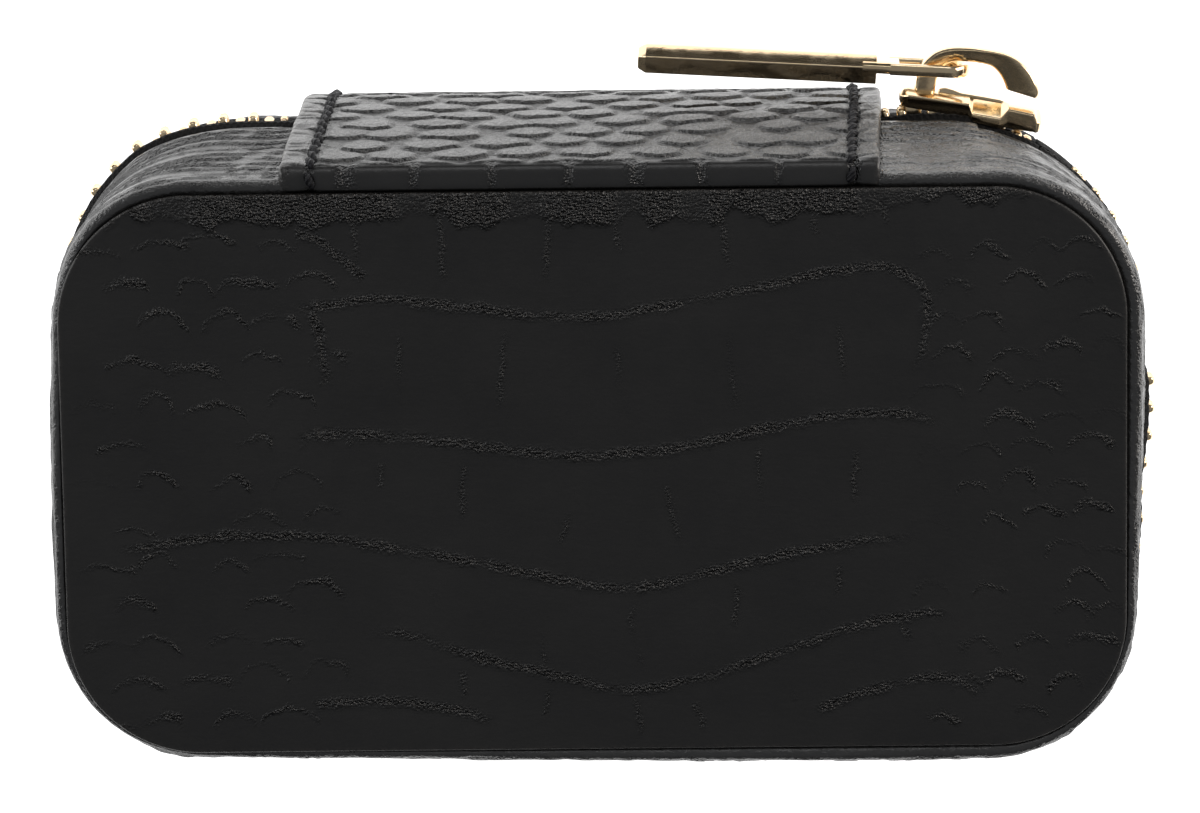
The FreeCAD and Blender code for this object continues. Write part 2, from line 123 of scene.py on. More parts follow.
def lenses(u, v, su, sv, seed, jit=0.12, wide=0.60, tall=0.56):
    """Brick-laid leaf-shaped scales. Returns how far inside the scale a point is (0 at its rim, 1 in the middle), the offset across it and a random number per scale."""
    U, W = u / su, v / sv
    r0 = np.floor(W).astype(np.int64)
    best = np.full(U.shape, -9.0)
    dx, dy, rid = np.zeros(U.shape), np.zeros(U.shape), np.zeros(U.shape)
    for dr in (-1, 0, 1):
        r = r0 + dr
        o = 0.5 * (r % 2) + 0.16 * (hash01(r, 0, seed + 3) - 0.5)
        c0 = np.floor(U - o).astype(np.int64)
        for dc in (-1, 0, 1):
            c = c0 + dc
            px = c + o + 0.5 + (hash01(c, r, seed) - 0.5) * 2 * jit
            py = r + 0.5 + (hash01(c, r, seed + 7) - 0.5) * jit
            wd = wide * (0.88 + 0.24 * hash01(c, r, seed + 21))
            ex, ey = (U - px) / wd, (W - py) / tall
            L = 1 - np.abs(ex) ** 2.0 - np.abs(ey) ** 1.15
            near = L > best
            best = np.where(near, L, best)
            dx, dy = np.where(near, ex, dx), np.where(near, ey, dy)
            rid = np.where(near, hash01(c, r, seed + 13), rid)
    return best, dx, dy, rid


def off(o, t):
    return (o[0] - t, o[1] - t, max(o[2] - t, 0.05))


def mix(o1, o2, f):
    return tuple(p + (q - p) * f for p, q in zip(o1, o2))


def lid_at(z):
    return mix(ZIP, LID, np.clip((z - Z_LID_EDGE) / (LID_ROLL_Z - Z_LID_EDGE), 0, 1))


def base_at(z):
    return mix(ZIP, BASE, np.clip((Z_BASE_EDGE - z) / (Z_BASE_EDGE - BASE_ROLL_Z), 0, 1))


def outline(o, n_short, n_corner, n_long):
    """Points and outward normals of a rounded rectangle, anticlockwise from the right side."""
    a, b, r = o
    pts, nor = [], []

    def line(p, q, n, m):
        t = np.arange(m) / m
        pts.append(np.outer(1 - t, p) + np.outer(t, q))
        nor.append(np.tile(n, (m, 1)))

    def arc(cx, cy, a0, m):
        t = np.radians(a0) + np.arange(m) / m * (np.pi / 2)
        n = np.stack([np.cos(t), np.sin(t)], 1)
        pts.append(np.array([cx, cy]) + r * n)
        nor.append(n)

    line((a, -b + r), (a, b - r), (1, 0), n_short)
    arc(a - r, b - r, 0, n_corner)
    line((a - r, b), (-a + r, b), (0, 1), n_long)
    arc(-a + r, b - r, 90, n_corner)
    line((-a, b - r), (-a, -b + r), (-1, 0), n_short)
    arc(-a + r, -b + r, 180, n_corner)
    line((-a + r, -b), (a - r, -b), (0, -1), n_long)
    arc(a - r, -b + r, 270, n_corner)
    return np.concatenate(pts), np.concatenate(nor)


def arc_length(p, closed=True):
    q = np.roll(p, -1, axis=0) if closed else p[1:]
    d = np.linalg.norm(q - (p if closed else p[:-1]), axis=1)
    return np.concatenate([[0.0], np.cumsum(d)])[: len(p)]


def spline(points, step):
    """Catmull-Rom curve through points, resampled about every step."""
    p = np.array(points, float)
    p = np.vstack([2 * p[0] - p[1], p, 2 * p[-1] - p[-2]])
    out = []
    for i in range(1, len(p) - 2):
        t = np.linspace(0, 1, 24, endpoint=False)[:, None]
        a, b, c, d = p[i - 1], p[i], p[i + 1], p[i + 2]
        out.append(0.5 * (2 * b + (c - a) * t + (2 * a - 5 * b + 4 * c - d) * t ** 2 + (3 * b - a - 3 * c + d) * t ** 3))
    out.append(p[-2][None, :])
    c = np.concatenate(out)
    s = arc_length(c, False)
    n = max(2, int(round(s[-1] / step)) + 1)
    t = np.linspace(0, s[-1], n)
    return np.stack([np.interp(t, s, c[:, k]) for k in range(c.shape[1])], 1), t


# ------------------------------------------------------------------ meshes
def new_object(name, verts, quads, extra=(), attrs=None, smooth=True):
    """A mesh from points in mm. quads is an n x 4 array, extra a list of other faces."""
    me = bpy.data.meshes.new(name)
    faces = np.asarray(quads, np.int64).tolist() + [list(f) for f in extra]
    me.from_pydata((np.asarray(verts, float).reshape(-1, 3) * MM).tolist(), [], faces)
    me.update()
    if smooth:
        me.polygons.foreach_set("use_smooth", np.ones(len(me.polygons), bool))
    for key, val in (attrs or {}).items():
        val = np.asarray(val, np.float32)
        if val.ndim == 1:
            me.attributes.new(key, "FLOAT", "POINT").data.foreach_set("value", val)
        else:
            me.attributes.new(key, "FLOAT_VECTOR", "POINT").data.foreach_set("vector", val.ravel())
    ob = bpy.data.objects.new(name, me)
    bpy.context.scene.collection.objects.link(ob)
    return ob


def grid_faces(rows, cols, wrap_cols=False, wrap_rows=False, start=0):
    i = np.arange(rows if wrap_rows else rows - 1)
    j = np.arange(cols if wrap_cols else cols - 1)
    I, J = np.meshgrid(i, j, indexing="ij")
    I2, J2 = (I + 1) % rows, (J + 1) % cols
    return np.stack([I * cols + J, I * cols + J2, I2 * cols + J2, I2 * cols + J], -1).reshape(-1, 4) + start


def clean(ob, merge=0.0, outward=False):
    bm = bmesh.new()
    bm.from_mesh(ob.data)
    if merge:
        bmesh.ops.remove_doubles(bm, verts=bm.verts, dist=merge)
    if outward:
        bmesh.ops.recalc_face_normals(bm, faces=bm.faces)
    bm.to_mesh(ob.data)
    bm.free()
    ob.data.update()
    return ob


def flip(ob):
    ob.data.flip_normals()
    return ob


def sharp_by_angle(ob, degrees):
    me = ob.data
    bm = bmesh.new()
    bm.from_mesh(me)
    lim = math.radians(degrees)
    for e in bm.edges:
        e.smooth = not (len(e.link_faces) == 2 and e.calc_face_angle(0.0) > lim)
    for f in bm.faces:
        f.smooth = True
    bm.to_mesh(me)
    bm.free()


def apply_bevel(ob, width, segments=2, angle=30.0):
    m = ob.modifiers.new("bevel", "BEVEL")
    m.width = width * MM
    m.segments = segments
    m.limit_method = "ANGLE"
    m.angle_limit = math.radians(angle)
    m.harden_normals = False
    dg = bpy.context.evaluated_depsgraph_get()
    me = bpy.data.meshes.new_from_object(ob.evaluated_get(dg))
    ob.modifiers.clear()
    old = ob.data
    ob.data = me
    bpy.data.meshes.remove(old)
    sharp_by_angle(ob, 40)
    return ob


def rings_object(name, rings, closed_ends=True, attrs=None, smooth=True):
    """Loft of rings with equal point counts."""
    R = np.asarray(rings, float)
    n, m = R.shape[0], R.shape[1]
    extra = []
    if closed_ends:
        extra = [list(range(m))[::-1], [(n - 1) * m + k for k in range(m)]]
    ob = new_object(name, R.reshape(-1, 3), grid_faces(n, m, wrap_cols=True), extra, attrs, smooth)
    return clean(ob, outward=True)


def join(name, obs):
    with bpy.context.temp_override(active_object=obs[0], selected_editable_objects=obs, selected_objects=obs, object=obs[0]):
        bpy.ops.object.join()
    obs[0].name = name
    obs[0].data.name = name
    return obs[0]


# ------------------------------------------------------------------ materials
class Graph:
    def __init__(self, name):
        self.mat = bpy.data.materials.new(name)
        self.mat.use_nodes = True
        self.nt = self.mat.node_tree
        self.nt.nodes.clear()
        self.out = self.nt.nodes.new("ShaderNodeOutputMaterial")
        self.bsdf = self.nt.nodes.new("ShaderNodeBsdfPrincipled")
        self.nt.links.new(self.bsdf.outputs[0], self.out.inputs[0])

    def link(self, a, b):
        self.nt.links.new(a, b)

    def put(self, socket, value):
        if isinstance(value, bpy.types.NodeSocket):
            self.link(value, socket)
        else:
            socket.default_value = value

    def coords(self, scale=(1000, 1000, 1000), rotate=(0, 0, 0), source=None):
        if source is None:
            tc = self.nt.nodes.new("ShaderNodeTexCoord")
            source = tc.outputs["Object"]
        mp = self.nt.nodes.new("ShaderNodeMapping")
        mp.inputs["Scale"].default_value = scale
        mp.inputs["Rotation"].default_value = [math.radians(r) for r in rotate]
        self.link(source, mp.inputs["Vector"])
        return mp.outputs["Vector"]

    def attribute(self, name, vector=False):
        n = self.nt.nodes.new("ShaderNodeAttribute")
        n.attribute_name = name
        return n.outputs["Vector" if vector else "Fac"]

    def noise(self, vec, scale, detail=2.0, rough=0.5, distort=0.0):
        n = self.nt.nodes.new("ShaderNodeTexNoise")
        self.link(vec, n.inputs["Vector"])
        n.inputs["Scale"].default_value = scale
        n.inputs["Detail"].default_value = detail
        n.inputs["Roughness"].default_value = rough
        n.inputs["Distortion"].default_value = distort
        return n.outputs[0]

    def voronoi(self, vec, scale, feature="F1", randomness=1.0):
        n = self.nt.nodes.new("ShaderNodeTexVoronoi")
        n.feature = feature
        self.link(vec, n.inputs["Vector"])
        n.inputs["Scale"].default_value = scale
        n.inputs["Randomness"].default_value = randomness
        return n.outputs["Distance"]

    def wave(self, vec, scale, distort=0.0, direction="X", detail=2.0, dscale=1.0):
        n = self.nt.nodes.new("ShaderNodeTexWave")
        n.bands_direction = direction
        self.link(vec, n.inputs["Vector"])
        n.inputs["Scale"].default_value = scale
        n.inputs["Distortion"].default_value = distort
        n.inputs["Detail"].default_value = detail
        n.inputs["Detail Scale"].default_value = dscale
        return n.outputs["Fac"]

    def math(self, op, a, b=0.0, clamp=False):
        n = self.nt.nodes.new("ShaderNodeMath")
        n.operation = op
        n.use_clamp = clamp
        self.put(n.inputs[0], a)
        self.put(n.inputs[1], b)
        return n.outputs[0]

    def ramp(self, value, lo, hi, to_lo=0.0, to_hi=1.0):
        n = self.nt.nodes.new("ShaderNodeMapRange")
        n.clamp = True
        self.put(n.inputs["Value"], value)
        n.inputs["From Min"].default_value = lo
        n.inputs["From Max"].default_value = hi
        n.inputs["To Min"].default_value = to_lo
        n.inputs["To Max"].default_value = to_hi
        return n.outputs[0]

    def color(self, fac, a, b):
        n = self.nt.nodes.new("ShaderNodeMix")
        n.data_type = "RGBA"
        self.put(n.inputs[0], fac)
        for sock, v in ((n.inputs[6], a), (n.inputs[7], b)):
            if isinstance(v, bpy.types.NodeSocket):
                self.link(v, sock)
            else:
                sock.default_value = (*v, 1.0)
        return n.outputs[2]

    def bump(self, height, distance_mm, strength=1.0, normal=None):
        n = self.nt.nodes.new("ShaderNodeBump")
        n.inputs["Distance"].default_value = distance_mm * MM
        n.inputs["Strength"].default_value = strength
        self.put(n.inputs["Height"], height)
        if normal is not None:
            self.link(normal, n.inputs["Normal"])
        return n.outputs[0]

    def set(self, **kw):
        for k, v in kw.items():
            self.put(self.bsdf.inputs[k.replace("_", " ")], v)
        return self.mat


def leather_material(name, rough=(0.40, 0.54), wrinkle=0.0, wrinkle_scale=(450, 1700, 1700), wrinkle_turn=(0, 0, 0), pebble=0.5, tone=1.0, sparkle=1.0, where=None, ior=1.5):
    """Black embossed leather. The groove attribute brings out a tight pebbled grain and paints shade into the grooves;
    the wear attribute paints a rubbed edge, which on the lid panel's rim is also a painted highlight.
    """
    g = Graph(name)
    co = g.coords()
    groove_shade = g.attribute("groove_shade")
    wear_and_highlight = g.attribute("wear_and_highlight")
    broad = g.noise(co, 0.09, 4.0, 0.6)
    grain = g.noise(co, 4.2, 3.0, 0.65)
    pores = g.voronoi(co, 2.3, "F1")
    cells = g.voronoi(co, 1.25, "SMOOTH_F1")
    beads = g.voronoi(co, 3.9, "F1")
    base = g.color(g.ramp(broad, 0.3, 0.72), (0.0070 * tone, 0.0069 * tone, 0.0071 * tone), (0.0125 * tone, 0.0122 * tone, 0.0120 * tone))
    # painted shade: the groove mask darkens grooves, slits and creases towards black
    base = g.color(g.math("MULTIPLY", groove_shade, 0.95), base, (0.0024, 0.0023, 0.0023))
    # the wear mask lightens rubbed edges; on the lid panel's rim this is also a painted highlight line
    rub = g.math("MULTIPLY", wear_and_highlight, g.ramp(grain, 0.42, 0.66))
    base = g.color(g.math("MULTIPLY", rub, 0.7), base, (0.050, 0.045, 0.040))
    r = g.ramp(g.noise(co, 0.55, 4.0, 0.65), 0.28, 0.75, rough[0], rough[1])
    r = g.math("SUBTRACT", r, g.math("MULTIPLY", groove_shade, 0.19), True)
    h = g.math("ADD", g.math("MULTIPLY", pores, 0.6), g.math("MULTIPLY", grain, 0.5))
    h = g.math("MULTIPLY", h, 0.25)
    h = g.math("ADD", h, g.math("MULTIPLY", cells, 0.25 * pebble))
    nrm = g.bump(h, 0.085, 0.9)
    # tight pebbles in the grooves
    tight = g.math("MULTIPLY", g.math("ADD", beads, g.math("MULTIPLY", grain, 0.45)), groove_shade)
    nrm = g.bump(tight, 0.26 * sparkle, 1.0, nrm)
    if wrinkle:
        w = g.noise(g.coords(wrinkle_scale, wrinkle_turn), 1.0, 3.0, 0.6, 0.35)
        if where:
            w = g.math("MULTIPLY", w, g.attribute(where))
        nrm = g.bump(w, 0.09 * wrinkle, 1.0, nrm)
    return g.set(Base_Color=base, Roughness=r, Normal=nrm, IOR=ior)


def gold_material(name, rough=(0.10, 0.22), brushed=0.0):
    g = Graph(name)
    co = g.coords()
    n = g.noise(co, 0.5, 4.0, 0.6)
    fine = g.noise(co, 9.0, 2.0, 0.5)
    scratch = g.noise(g.coords((260, 5200, 5200), (0, 0, 9)), 1.0, 2.0, 0.55)
    tint = g.color(g.ramp(n, 0.3, 0.7), (0.81, 0.63, 0.39), (0.86, 0.69, 0.46))
    tint = g.color(g.math("MULTIPLY", g.ramp(g.voronoi(co, 1.3), 0.02, 0.12, 1.0, 0.0), 0.25), tint, (0.48, 0.33, 0.16))
    r = g.ramp(g.math("ADD", g.math("MULTIPLY", n, 0.6), g.math("MULTIPLY", scratch, 0.4)), 0.3, 0.7, rough[0], rough[1])
    h = g.math("ADD", g.math("MULTIPLY", scratch, 0.5), g.math("MULTIPLY", fine, 0.25))
    nrm = g.bump(h, 0.006, 0.8)
    nrm = g.bump(n, 0.05, 0.6, nrm)
    return g.set(Base_Color=tint, Metallic=1.0, Roughness=r, Normal=nrm)


def tape_material(name):
    g = Graph(name)
    uv = g.attribute("weave", True)
    a = g.wave(g.coords((1, 1, 1), (0, 0, 38), uv), 0.62, 0.6, "X", 1.0, 2.0)
    b = g.wave(g.coords((1, 1, 1), (0, 0, -38), uv), 0.62, 0.6, "X", 1.0, 2.0)
    rib = g.wave(uv, 0.52, 0.2, "X", 1.0, 2.0)
    fuzz = g.noise(g.coords(), 7.0, 3.0, 0.6)
    h = g.math("ADD", g.math("MAXIMUM", a, b), g.math("MULTIPLY", rib, 0.5))
    base = g.color(g.math("MULTIPLY", h, 0.62), (0.0025, 0.0025, 0.0027), (0.0085, 0.0082, 0.0082))
    base = g.color(g.ramp(fuzz, 0.62, 0.8), base, (0.018, 0.017, 0.016))
    nrm = g.bump(h, 0.11, 1.0)
    nrm = g.bump(fuzz, 0.05, 0.7, nrm)
    return g.set(Base_Color=base, Roughness=g.ramp(fuzz, 0.3, 0.7, 0.72, 0.9), Normal=nrm, Specular_IOR_Level=0.16, Sheen_Weight=0.04, Sheen_Roughness=0.4)


def thread_material(name):
    g = Graph(name)
    uv = g.attribute("weave", True)
    ply = g.wave(g.coords((1, 1, 1), (0, 0, 52), uv), 0.95, 0.3, "X", 1.0, 2.0)
    fuzz = g.noise(g.coords(), 9.0, 3.0, 0.6)
    base = g.color(ply, (0.0035, 0.0035, 0.005), (0.012, 0.012, 0.0155))
    nrm = g.bump(ply, 0.12, 1.0)
    nrm = g.bump(fuzz, 0.03, 0.6, nrm)
    return g.set(Base_Color=base, Roughness=g.ramp(fuzz, 0.3, 0.7, 0.5, 0.7), Normal=nrm, IOR=1.36)


def suede_material(name, lo, hi, nap=1.0, sheen=0.35):
    g = Graph(name)
    co = g.coords()
    broad = g.noise(co, 0.16, 4.0, 0.6, 0.4)
    stroke = g.noise(g.coords((140, 420, 420), (0, 0, 24)), 1.0, 3.0, 0.6, 0.5)
    fibre = g.noise(co, 6.5, 4.0, 0.7)
    tone = g.math("ADD", g.math("MULTIPLY", broad, 0.5), g.math("MULTIPLY", stroke, 0.5))
    base = g.color(g.ramp(tone, 0.34, 0.66), lo, hi)
    base = g.color(g.math("MULTIPLY", g.ramp(fibre, 0.52, 0.75), 0.35), base, tuple(min(1.0, c * 1.25) for c in hi))
    # painted shade: the groove mask darkens hollows such as pleats, seam dents and pinches
    base = g.color(g.math("MULTIPLY", g.attribute("groove_shade"), 0.55), base, tuple(c * 0.45 for c in lo))
    nrm = g.bump(fibre, 0.10 * nap, 0.8)
    nrm = g.bump(stroke, 0.12 * nap, 0.5, nrm)
    return g.set(Base_Color=base, Roughness=g.ramp(fibre, 0.3, 0.7, 0.82, 0.96), Normal=nrm, Sheen_Weight=sheen, Sheen_Roughness=0.35)


def board_material(name):
    g = Graph(name)
    co = g.coords()
    fibre = g.noise(g.coords((700, 2600, 2600), (0, 0, 15)), 1.0, 4.0, 0.65)
    speck = g.noise(co, 3.0, 3.0, 0.6)
    base = g.color(g.ramp(speck, 0.35, 0.68), (0.175, 0.15, 0.12), (0.30, 0.262, 0.215))
    base = g.color(g.ramp(fibre, 0.58, 0.75), base, (0.36, 0.32, 0.27))
    return g.set(Base_Color=base, Roughness=g.ramp(speck, 0.3, 0.7, 0.82, 0.95), Normal=g.bump(fibre, 0.06, 0.8))


M_FACE = leather_material("face_leather", (0.40, 0.52), 0.35, (500, 1500, 1500), (0, 0, 28), 0.5)
M_WALL = leather_material("wall_leather", (0.27, 0.42), 1.6, (1300, 1300, 2900), (0, 0, 0), 0.9, 1.0, 0.75, None, 1.82)
M_SPINE = leather_material("spine_leather", (0.27, 0.40), 5.2, (2700, 800, 800), (0, 26, 0), 0.4, 1.0, 0.6, "twill", 1.6)
M_BASE = leather_material("base_leather", (0.42, 0.56), 0.9, (420, 420, 1900), (0, 0, 0), 0.5)
M_GOLD = gold_material("pale_gold")
M_TEETH = gold_material("teeth_gold", (0.16, 0.3))
M_TAPE = tape_material("woven_tape")
M_THREAD = thread_material("waxed_thread")
M_SUEDE = suede_material("suede_lining", (0.42, 0.355, 0.285), (0.60, 0.525, 0.435))
M_VELVET = suede_material("velvet_rolls", (0.40, 0.34, 0.27), (0.64, 0.56, 0.465), 1.5, 0.6)
M_SATIN = suede_material("pocket_cloth", (0.45, 0.385, 0.31), (0.61, 0.535, 0.445), 0.6, 0.3)
M_BOARD = board_material("board")


def finish_piece(ob, material, body=None, stands_for=()):
    ob.data.materials.clear()
    ob.data.materials.append(material)
    if stands_for:
        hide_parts(*stands_for)
    if body:
        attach(ob, body)
    return ob


# ------------------------------------------------------------------ lid panel
# Belly scales of the emboss: grooves across the panel, then the short ones between them, mm on the panel.
CROSS_GROOVES = [
    [(-29.8, 15.9), (-27.0, 16.6), (-25.3, 16.6), (-23.3, 17.0), (-20.5, 17.3), (-17.8, 17.0), (-13.6, 16.5), (-9.5, 16.0), (-5.4, 15.5), (-1.3, 15.2), (1.4, 15.3), (4.9, 15.9), (8.3, 16.5), (12.4, 17.4), (16.6, 18.2), (20.7, 19.1), (24.1, 19.6), (26.8, 20.0), (28.9, 19.6), (30.6, 18.7), (31.6, 17.7), (32.0, 15.2), (31.6, 12.0), (30.4, 9.2)],
    [(-27.0, 16.4), (-26.1, 14.5), (-25.7, 12.0), (-25.4, 8.8)],
    [(-29.4, 3.7), (-26.3, 4.0), (-22.9, 4.1), (-19.4, 3.8), (-15.3, 3.4), (-11.2, 2.8), (-7.0, 2.2), (-2.9, 1.7), (1.2, 1.7), (5.4, 2.1), (9.5, 2.7), (13.7, 3.6), (17.8, 4.5), (21.9, 5.2), (26.1, 5.5), (29.5, 5.5), (31.6, 5.2), (33.6, 4.3)],
    [(-47.0, -7.3), (-43.9, -7.0), (-40.4, -6.5), (-36.9, -6.0), (-33.5, -5.8), (-30.0, -5.9), (-27.6, -6.0), (-24.5, -6.3), (-21.7, -6.9), (-18.3, -7.5), (-14.1, -8.2), (-10.0, -9.1), (-5.9, -10.0), (-1.7, -10.9), (1.0, -11.3), (3.8, -11.4), (6.6, -11.0), (10.1, -10.1), (13.5, -9.3), (17.7, -8.4), (21.8, -7.6), (26.0, -7.0), (29.4, -6.7), (31.5, -6.6)],
    [(-22.6, -15.5), (-19.8, -15.7), (-17.1, -16.2), (-13.6, -17.4), (-10.2, -18.5), (-6.7, -19.4), (-3.3, -20.3), (0.2, -21.1), (3.0, -21.6), (6.5, -21.2), (10.6, -20.3), (14.8, -18.9), (19.0, -17.5), (22.5, -16.3), (25.9, -15.3), (29.4, -14.6), (32.2, -14.3), (34.9, -14.8)],
    [(-27.6, -22.8), (-24.9, -22.6), (-22.1, -22.5), (-19.3, -22.6), (-16.5, -22.9), (-13.0, -23.6), (-9.9, -24.6)],
    [(21.0, -24.0), (25.2, -22.2), (28.0, -21.5), (30.8, -20.8), (33.5, -20.6), (35.6, -21.3), (37.0, -22.6)],
    [(-28.2, 24.0), (-26.2, 23.2), (-24.8, 22.2), (-23.2, 20.8), (-21.5, 19.3)],
]
SHORT_GROOVES = [
    [(-22.7, 27.2), (-22.4, 22.8), (-21.8, 19.3)], [(-14.3, 27.3), (-14.2, 22.8), (-14.0, 18.2)], [(-4.1, 27.2), (-4.1, 21.9), (-4.3, 18.1)],
    [(1.8, 26.9), (2.6, 22.9), (3.5, 18.9)], [(12.3, 27.0), (12.8, 23.5), (13.1, 19.3)], [(21.3, 26.9), (21.3, 22.7)], [(27.6, 26.5), (28.2, 23.3)],
    [(-18.3, 14.4), (-18.4, 10.8), (-18.5, 6.6)], [(-8.2, 14.6), (-8.6, 10.0), (-9.1, 4.7)], [(2.2, 13.1), (2.6, 9.2), (3.3, 4.6)],
    [(13.0, 14.0), (13.3, 10.5), (13.7, 5.5)], [(23.5, 15.3), (23.7, 11.1), (23.9, 7.9)],
    [(-20.4, 1.3), (-20.4, -1.5)], [(-12.4, 1.9), (-12.6, -1.3), (-12.7, -5.0)], [(-1.8, -1.4), (-2.6, -4.2), (-3.4, -7.6)],
    [(6.2, 0.3), (7.4, -4.0), (8.5, -7.3)], [(15.7, 3.0), (15.8, -0.2), (16.2, -4.4)], [(25.2, 3.6), (25.0, -0.3), (24.6, -3.8)],
    [(-15.2, -10.9), (-15.6, -13.4), (-15.0, -15.9)], [(-4.9, -13.1), (-5.1, -16.4), (-4.9, -19.6)], [(3.7, -12.2), (3.4, -15.7), (4.4, -19.7)],
    [(13.5, -10.8), (13.6, -13.0), (13.3, -15.8)], [(23.6, -9.1), (23.2, -12.4)], [(29.1, -14.9), (30.4, -17.1)],
    [(3.8, -21.9), (4.3, -26.6)], [(9.4, -22.6), (10.4, -26.0)], [(18.6, -20.6), (18.9, -23.1)], [(-4.7, -21.4), (-5.0, -24.3)], [(-13.0, -19.2), (-12.6, -22.4)],
]


def line_distance(x, y, lines):
    """Distance to the nearest of several polylines, and how far along its line that is, 0 to 1."""
    best = np.full(x.shape, 99.0)
    along = np.zeros(x.shape)
    for pts in lines:
        c, s = spline(pts, 1.2) if len(pts) > 2 else (np.array(pts, float), np.array([0.0, math.dist(*pts)]))
        lo, hi = c.min(0) - 3, c.max(0) + 3
        near = np.nonzero((x > lo[0]) & (x < hi[0]) & (y > lo[1]) & (y < hi[1]))[0]
        px, py = x[near], y[near]
        b, al = np.full(px.shape, 99.0), np.zeros(px.shape)
        for i in range(len(c) - 1):
            p, d = c[i], c[i + 1] - c[i]
            t = np.clip(((px - p[0]) * d[0] + (py - p[1]) * d[1]) / (d @ d), 0, 1)
            q = np.hypot(px - p[0] - t * d[0], py - p[1] - t * d[1])
            w = q < b
            b = np.where(w, q, b)
            al = np.where(w, (s[i] + t * (s[i + 1] - s[i])) / s[-1], al)
        w = b < best[near]
        best[near[w]] = b[w]
        along[near[w]] = al[w]
    return best, along


def arch_marks(x, y):
    """Short arched marks of the small flank scales: stroke strength at each point."""
    mark = np.zeros(x.shape)
    fields = (
        # centre line of the field, columns, rows, pitch, row pitch, half width, rise, seed
        (-47.6, -24.0, -25.0, 23.5, 6.1, 3.9, 2.6, 1.25, 401),
        (32.6, 49.6, -25.0, 23.5, 5.0, 3.25, 2.1, 1.15, 431),
    )
    for x0, x1, y0, y1, pitch, row, hw0, rise0, seed in fields:
        nr, nc = int((y1 - y0) / row) + 1, int((x1 - x0) / pitch) + 2
        for r in range(nr):
            for c in range(nc):
                k = hash01(c, r, seed)
                if k < 0.14:
                    continue
                cx = x0 + (c + 0.5 * (r % 2)) * pitch + (hash01(c, r, seed + 1) - 0.5) * 1.9
                cy = y0 + r * row + (hash01(c, r, seed + 2) - 0.5) * 1.3 + 0.035 * (cx - x0)
                hw = hw0 * (0.75 + 0.5 * hash01(c, r, seed + 3))
                rise = rise0 * (0.6 + 0.8 * hash01(c, r, seed + 4))
                edge = smooth01((cx - x0 + 1.5) / 3.0) * smooth01((x1 + 1.0 - cx) / 3.0)
                near = np.nonzero((np.abs(x - cx) < hw + 0.6) & (np.abs(y - cy) < rise + 1.6))[0]
                if not len(near):
                    continue
                e = (x[near] - cx) / hw
                f = cy + rise * (1 - np.abs(np.clip(e, -1.2, 1.2)) ** 1.8)
                slope = 1.8 * rise / hw * np.abs(e) ** 0.8
                d = np.abs(y[near] - f) / np.sqrt(1 + slope ** 2)
                lean = 0.75 + 0.35 * e * (1 if hash01(c, r, seed + 5) > 0.3 else -1)
                width = 0.22 + 0.20 * hash01(c, r, seed + 6)
                m = np.exp(-(d / width) ** 2) * smooth01((1.05 - np.abs(e)) / 0.3) * lean * (0.45 + 0.75 * k) * edge
                mark[near] = np.maximum(mark[near], m)
    return np.clip(mark, 0, 1)


def panel_emboss(x, y):
    """Height and groove mask of the belly-and-flank emboss on the lid panel."""
    wx = x + (fbm(x * 0.9, y * 0.9, 5) - 0.5) * 0.6
    wy = y + (fbm(x * 0.9, y * 0.9, 9) - 0.5) * 0.6
    d1, a1 = line_distance(wx, wy, CROSS_GROOVES)
    d2, a2 = line_distance(wx, wy, SHORT_GROOVES)
    v1 = 0.35 + 1.1 * vnoise(x * 0.55, y * 0.55, 21)
    v2 = smooth01((vnoise(x * 0.35 + 9, y * 0.35, 23) - 0.18) / 0.4)
    e1 = smooth01(a1 / 0.06) * smooth01((1 - a1) / 0.06)
    e2 = smooth01(a2 / 0.22) * smooth01((1 - a2) / 0.22) * v2
    h = -0.13 * v1 * e1 * np.exp(-(d1 / 0.26) ** 2) - 0.05 * np.exp(-d1 / 0.7) * e1
    h += -0.11 * e2 * np.exp(-(d2 / 0.22) ** 2) - 0.025 * np.exp(-d2 / 0.6) * e2
    # beaded grain along the main grooves
    bead = vnoise(x * 2.6, y * 2.6, 33) - 0.5
    h += 0.15 * bead * np.exp(-(d1 / 0.55) ** 2) * e1
    # the mask also paints shade: grooves and arched marks are darkened in the leather
    mask = np.maximum(np.exp(-(d1 / 0.50) ** 2) * e1 * np.clip(v1, 0, 1), 0.6 * np.exp(-(d2 / 0.34) ** 2) * e2)
    mark = arch_marks(x + (fbm(x * 0.7, y * 0.7, 15) - 0.5) * 1.5, y + (fbm(x * 0.7, y * 0.7, 19) - 0.5) * 1.1) * smooth01(d1 / 0.8)
    mark = mark * (0.55 + 0.8 * vnoise(x * 0.8, y * 0.8, 63))
    h += -0.13 * mark + 0.10 * (vnoise(x * 2.4, y * 2.4, 61) - 0.5) * mark
    mask = np.maximum(mask, np.clip(mark, 0, 1))
    # a pebbled band along the hinge edge, uneven below, darkened as painted shade
    low = 24.4 + 1.4 * (fbm(x * 0.5, 0.0, 67) - 0.5) * 2 - 1.6 * smooth01((np.abs(x + 36) - 2) / -9.0) + 1.3 * smooth01((x - 22) / 8.0)
    band = smooth01((y - low) / 0.9) * (0.45 + 0.55 * smooth01((vnoise(x * 0.3, 7.0, 69) - 0.25) / 0.3))
    h += 0.10 * (vnoise(x * 2.8, y * 2.8, 65) - 0.5) * band
    mask = np.maximum(mask, 0.95 * band)
    return h, np.clip(mask, 0, 1)


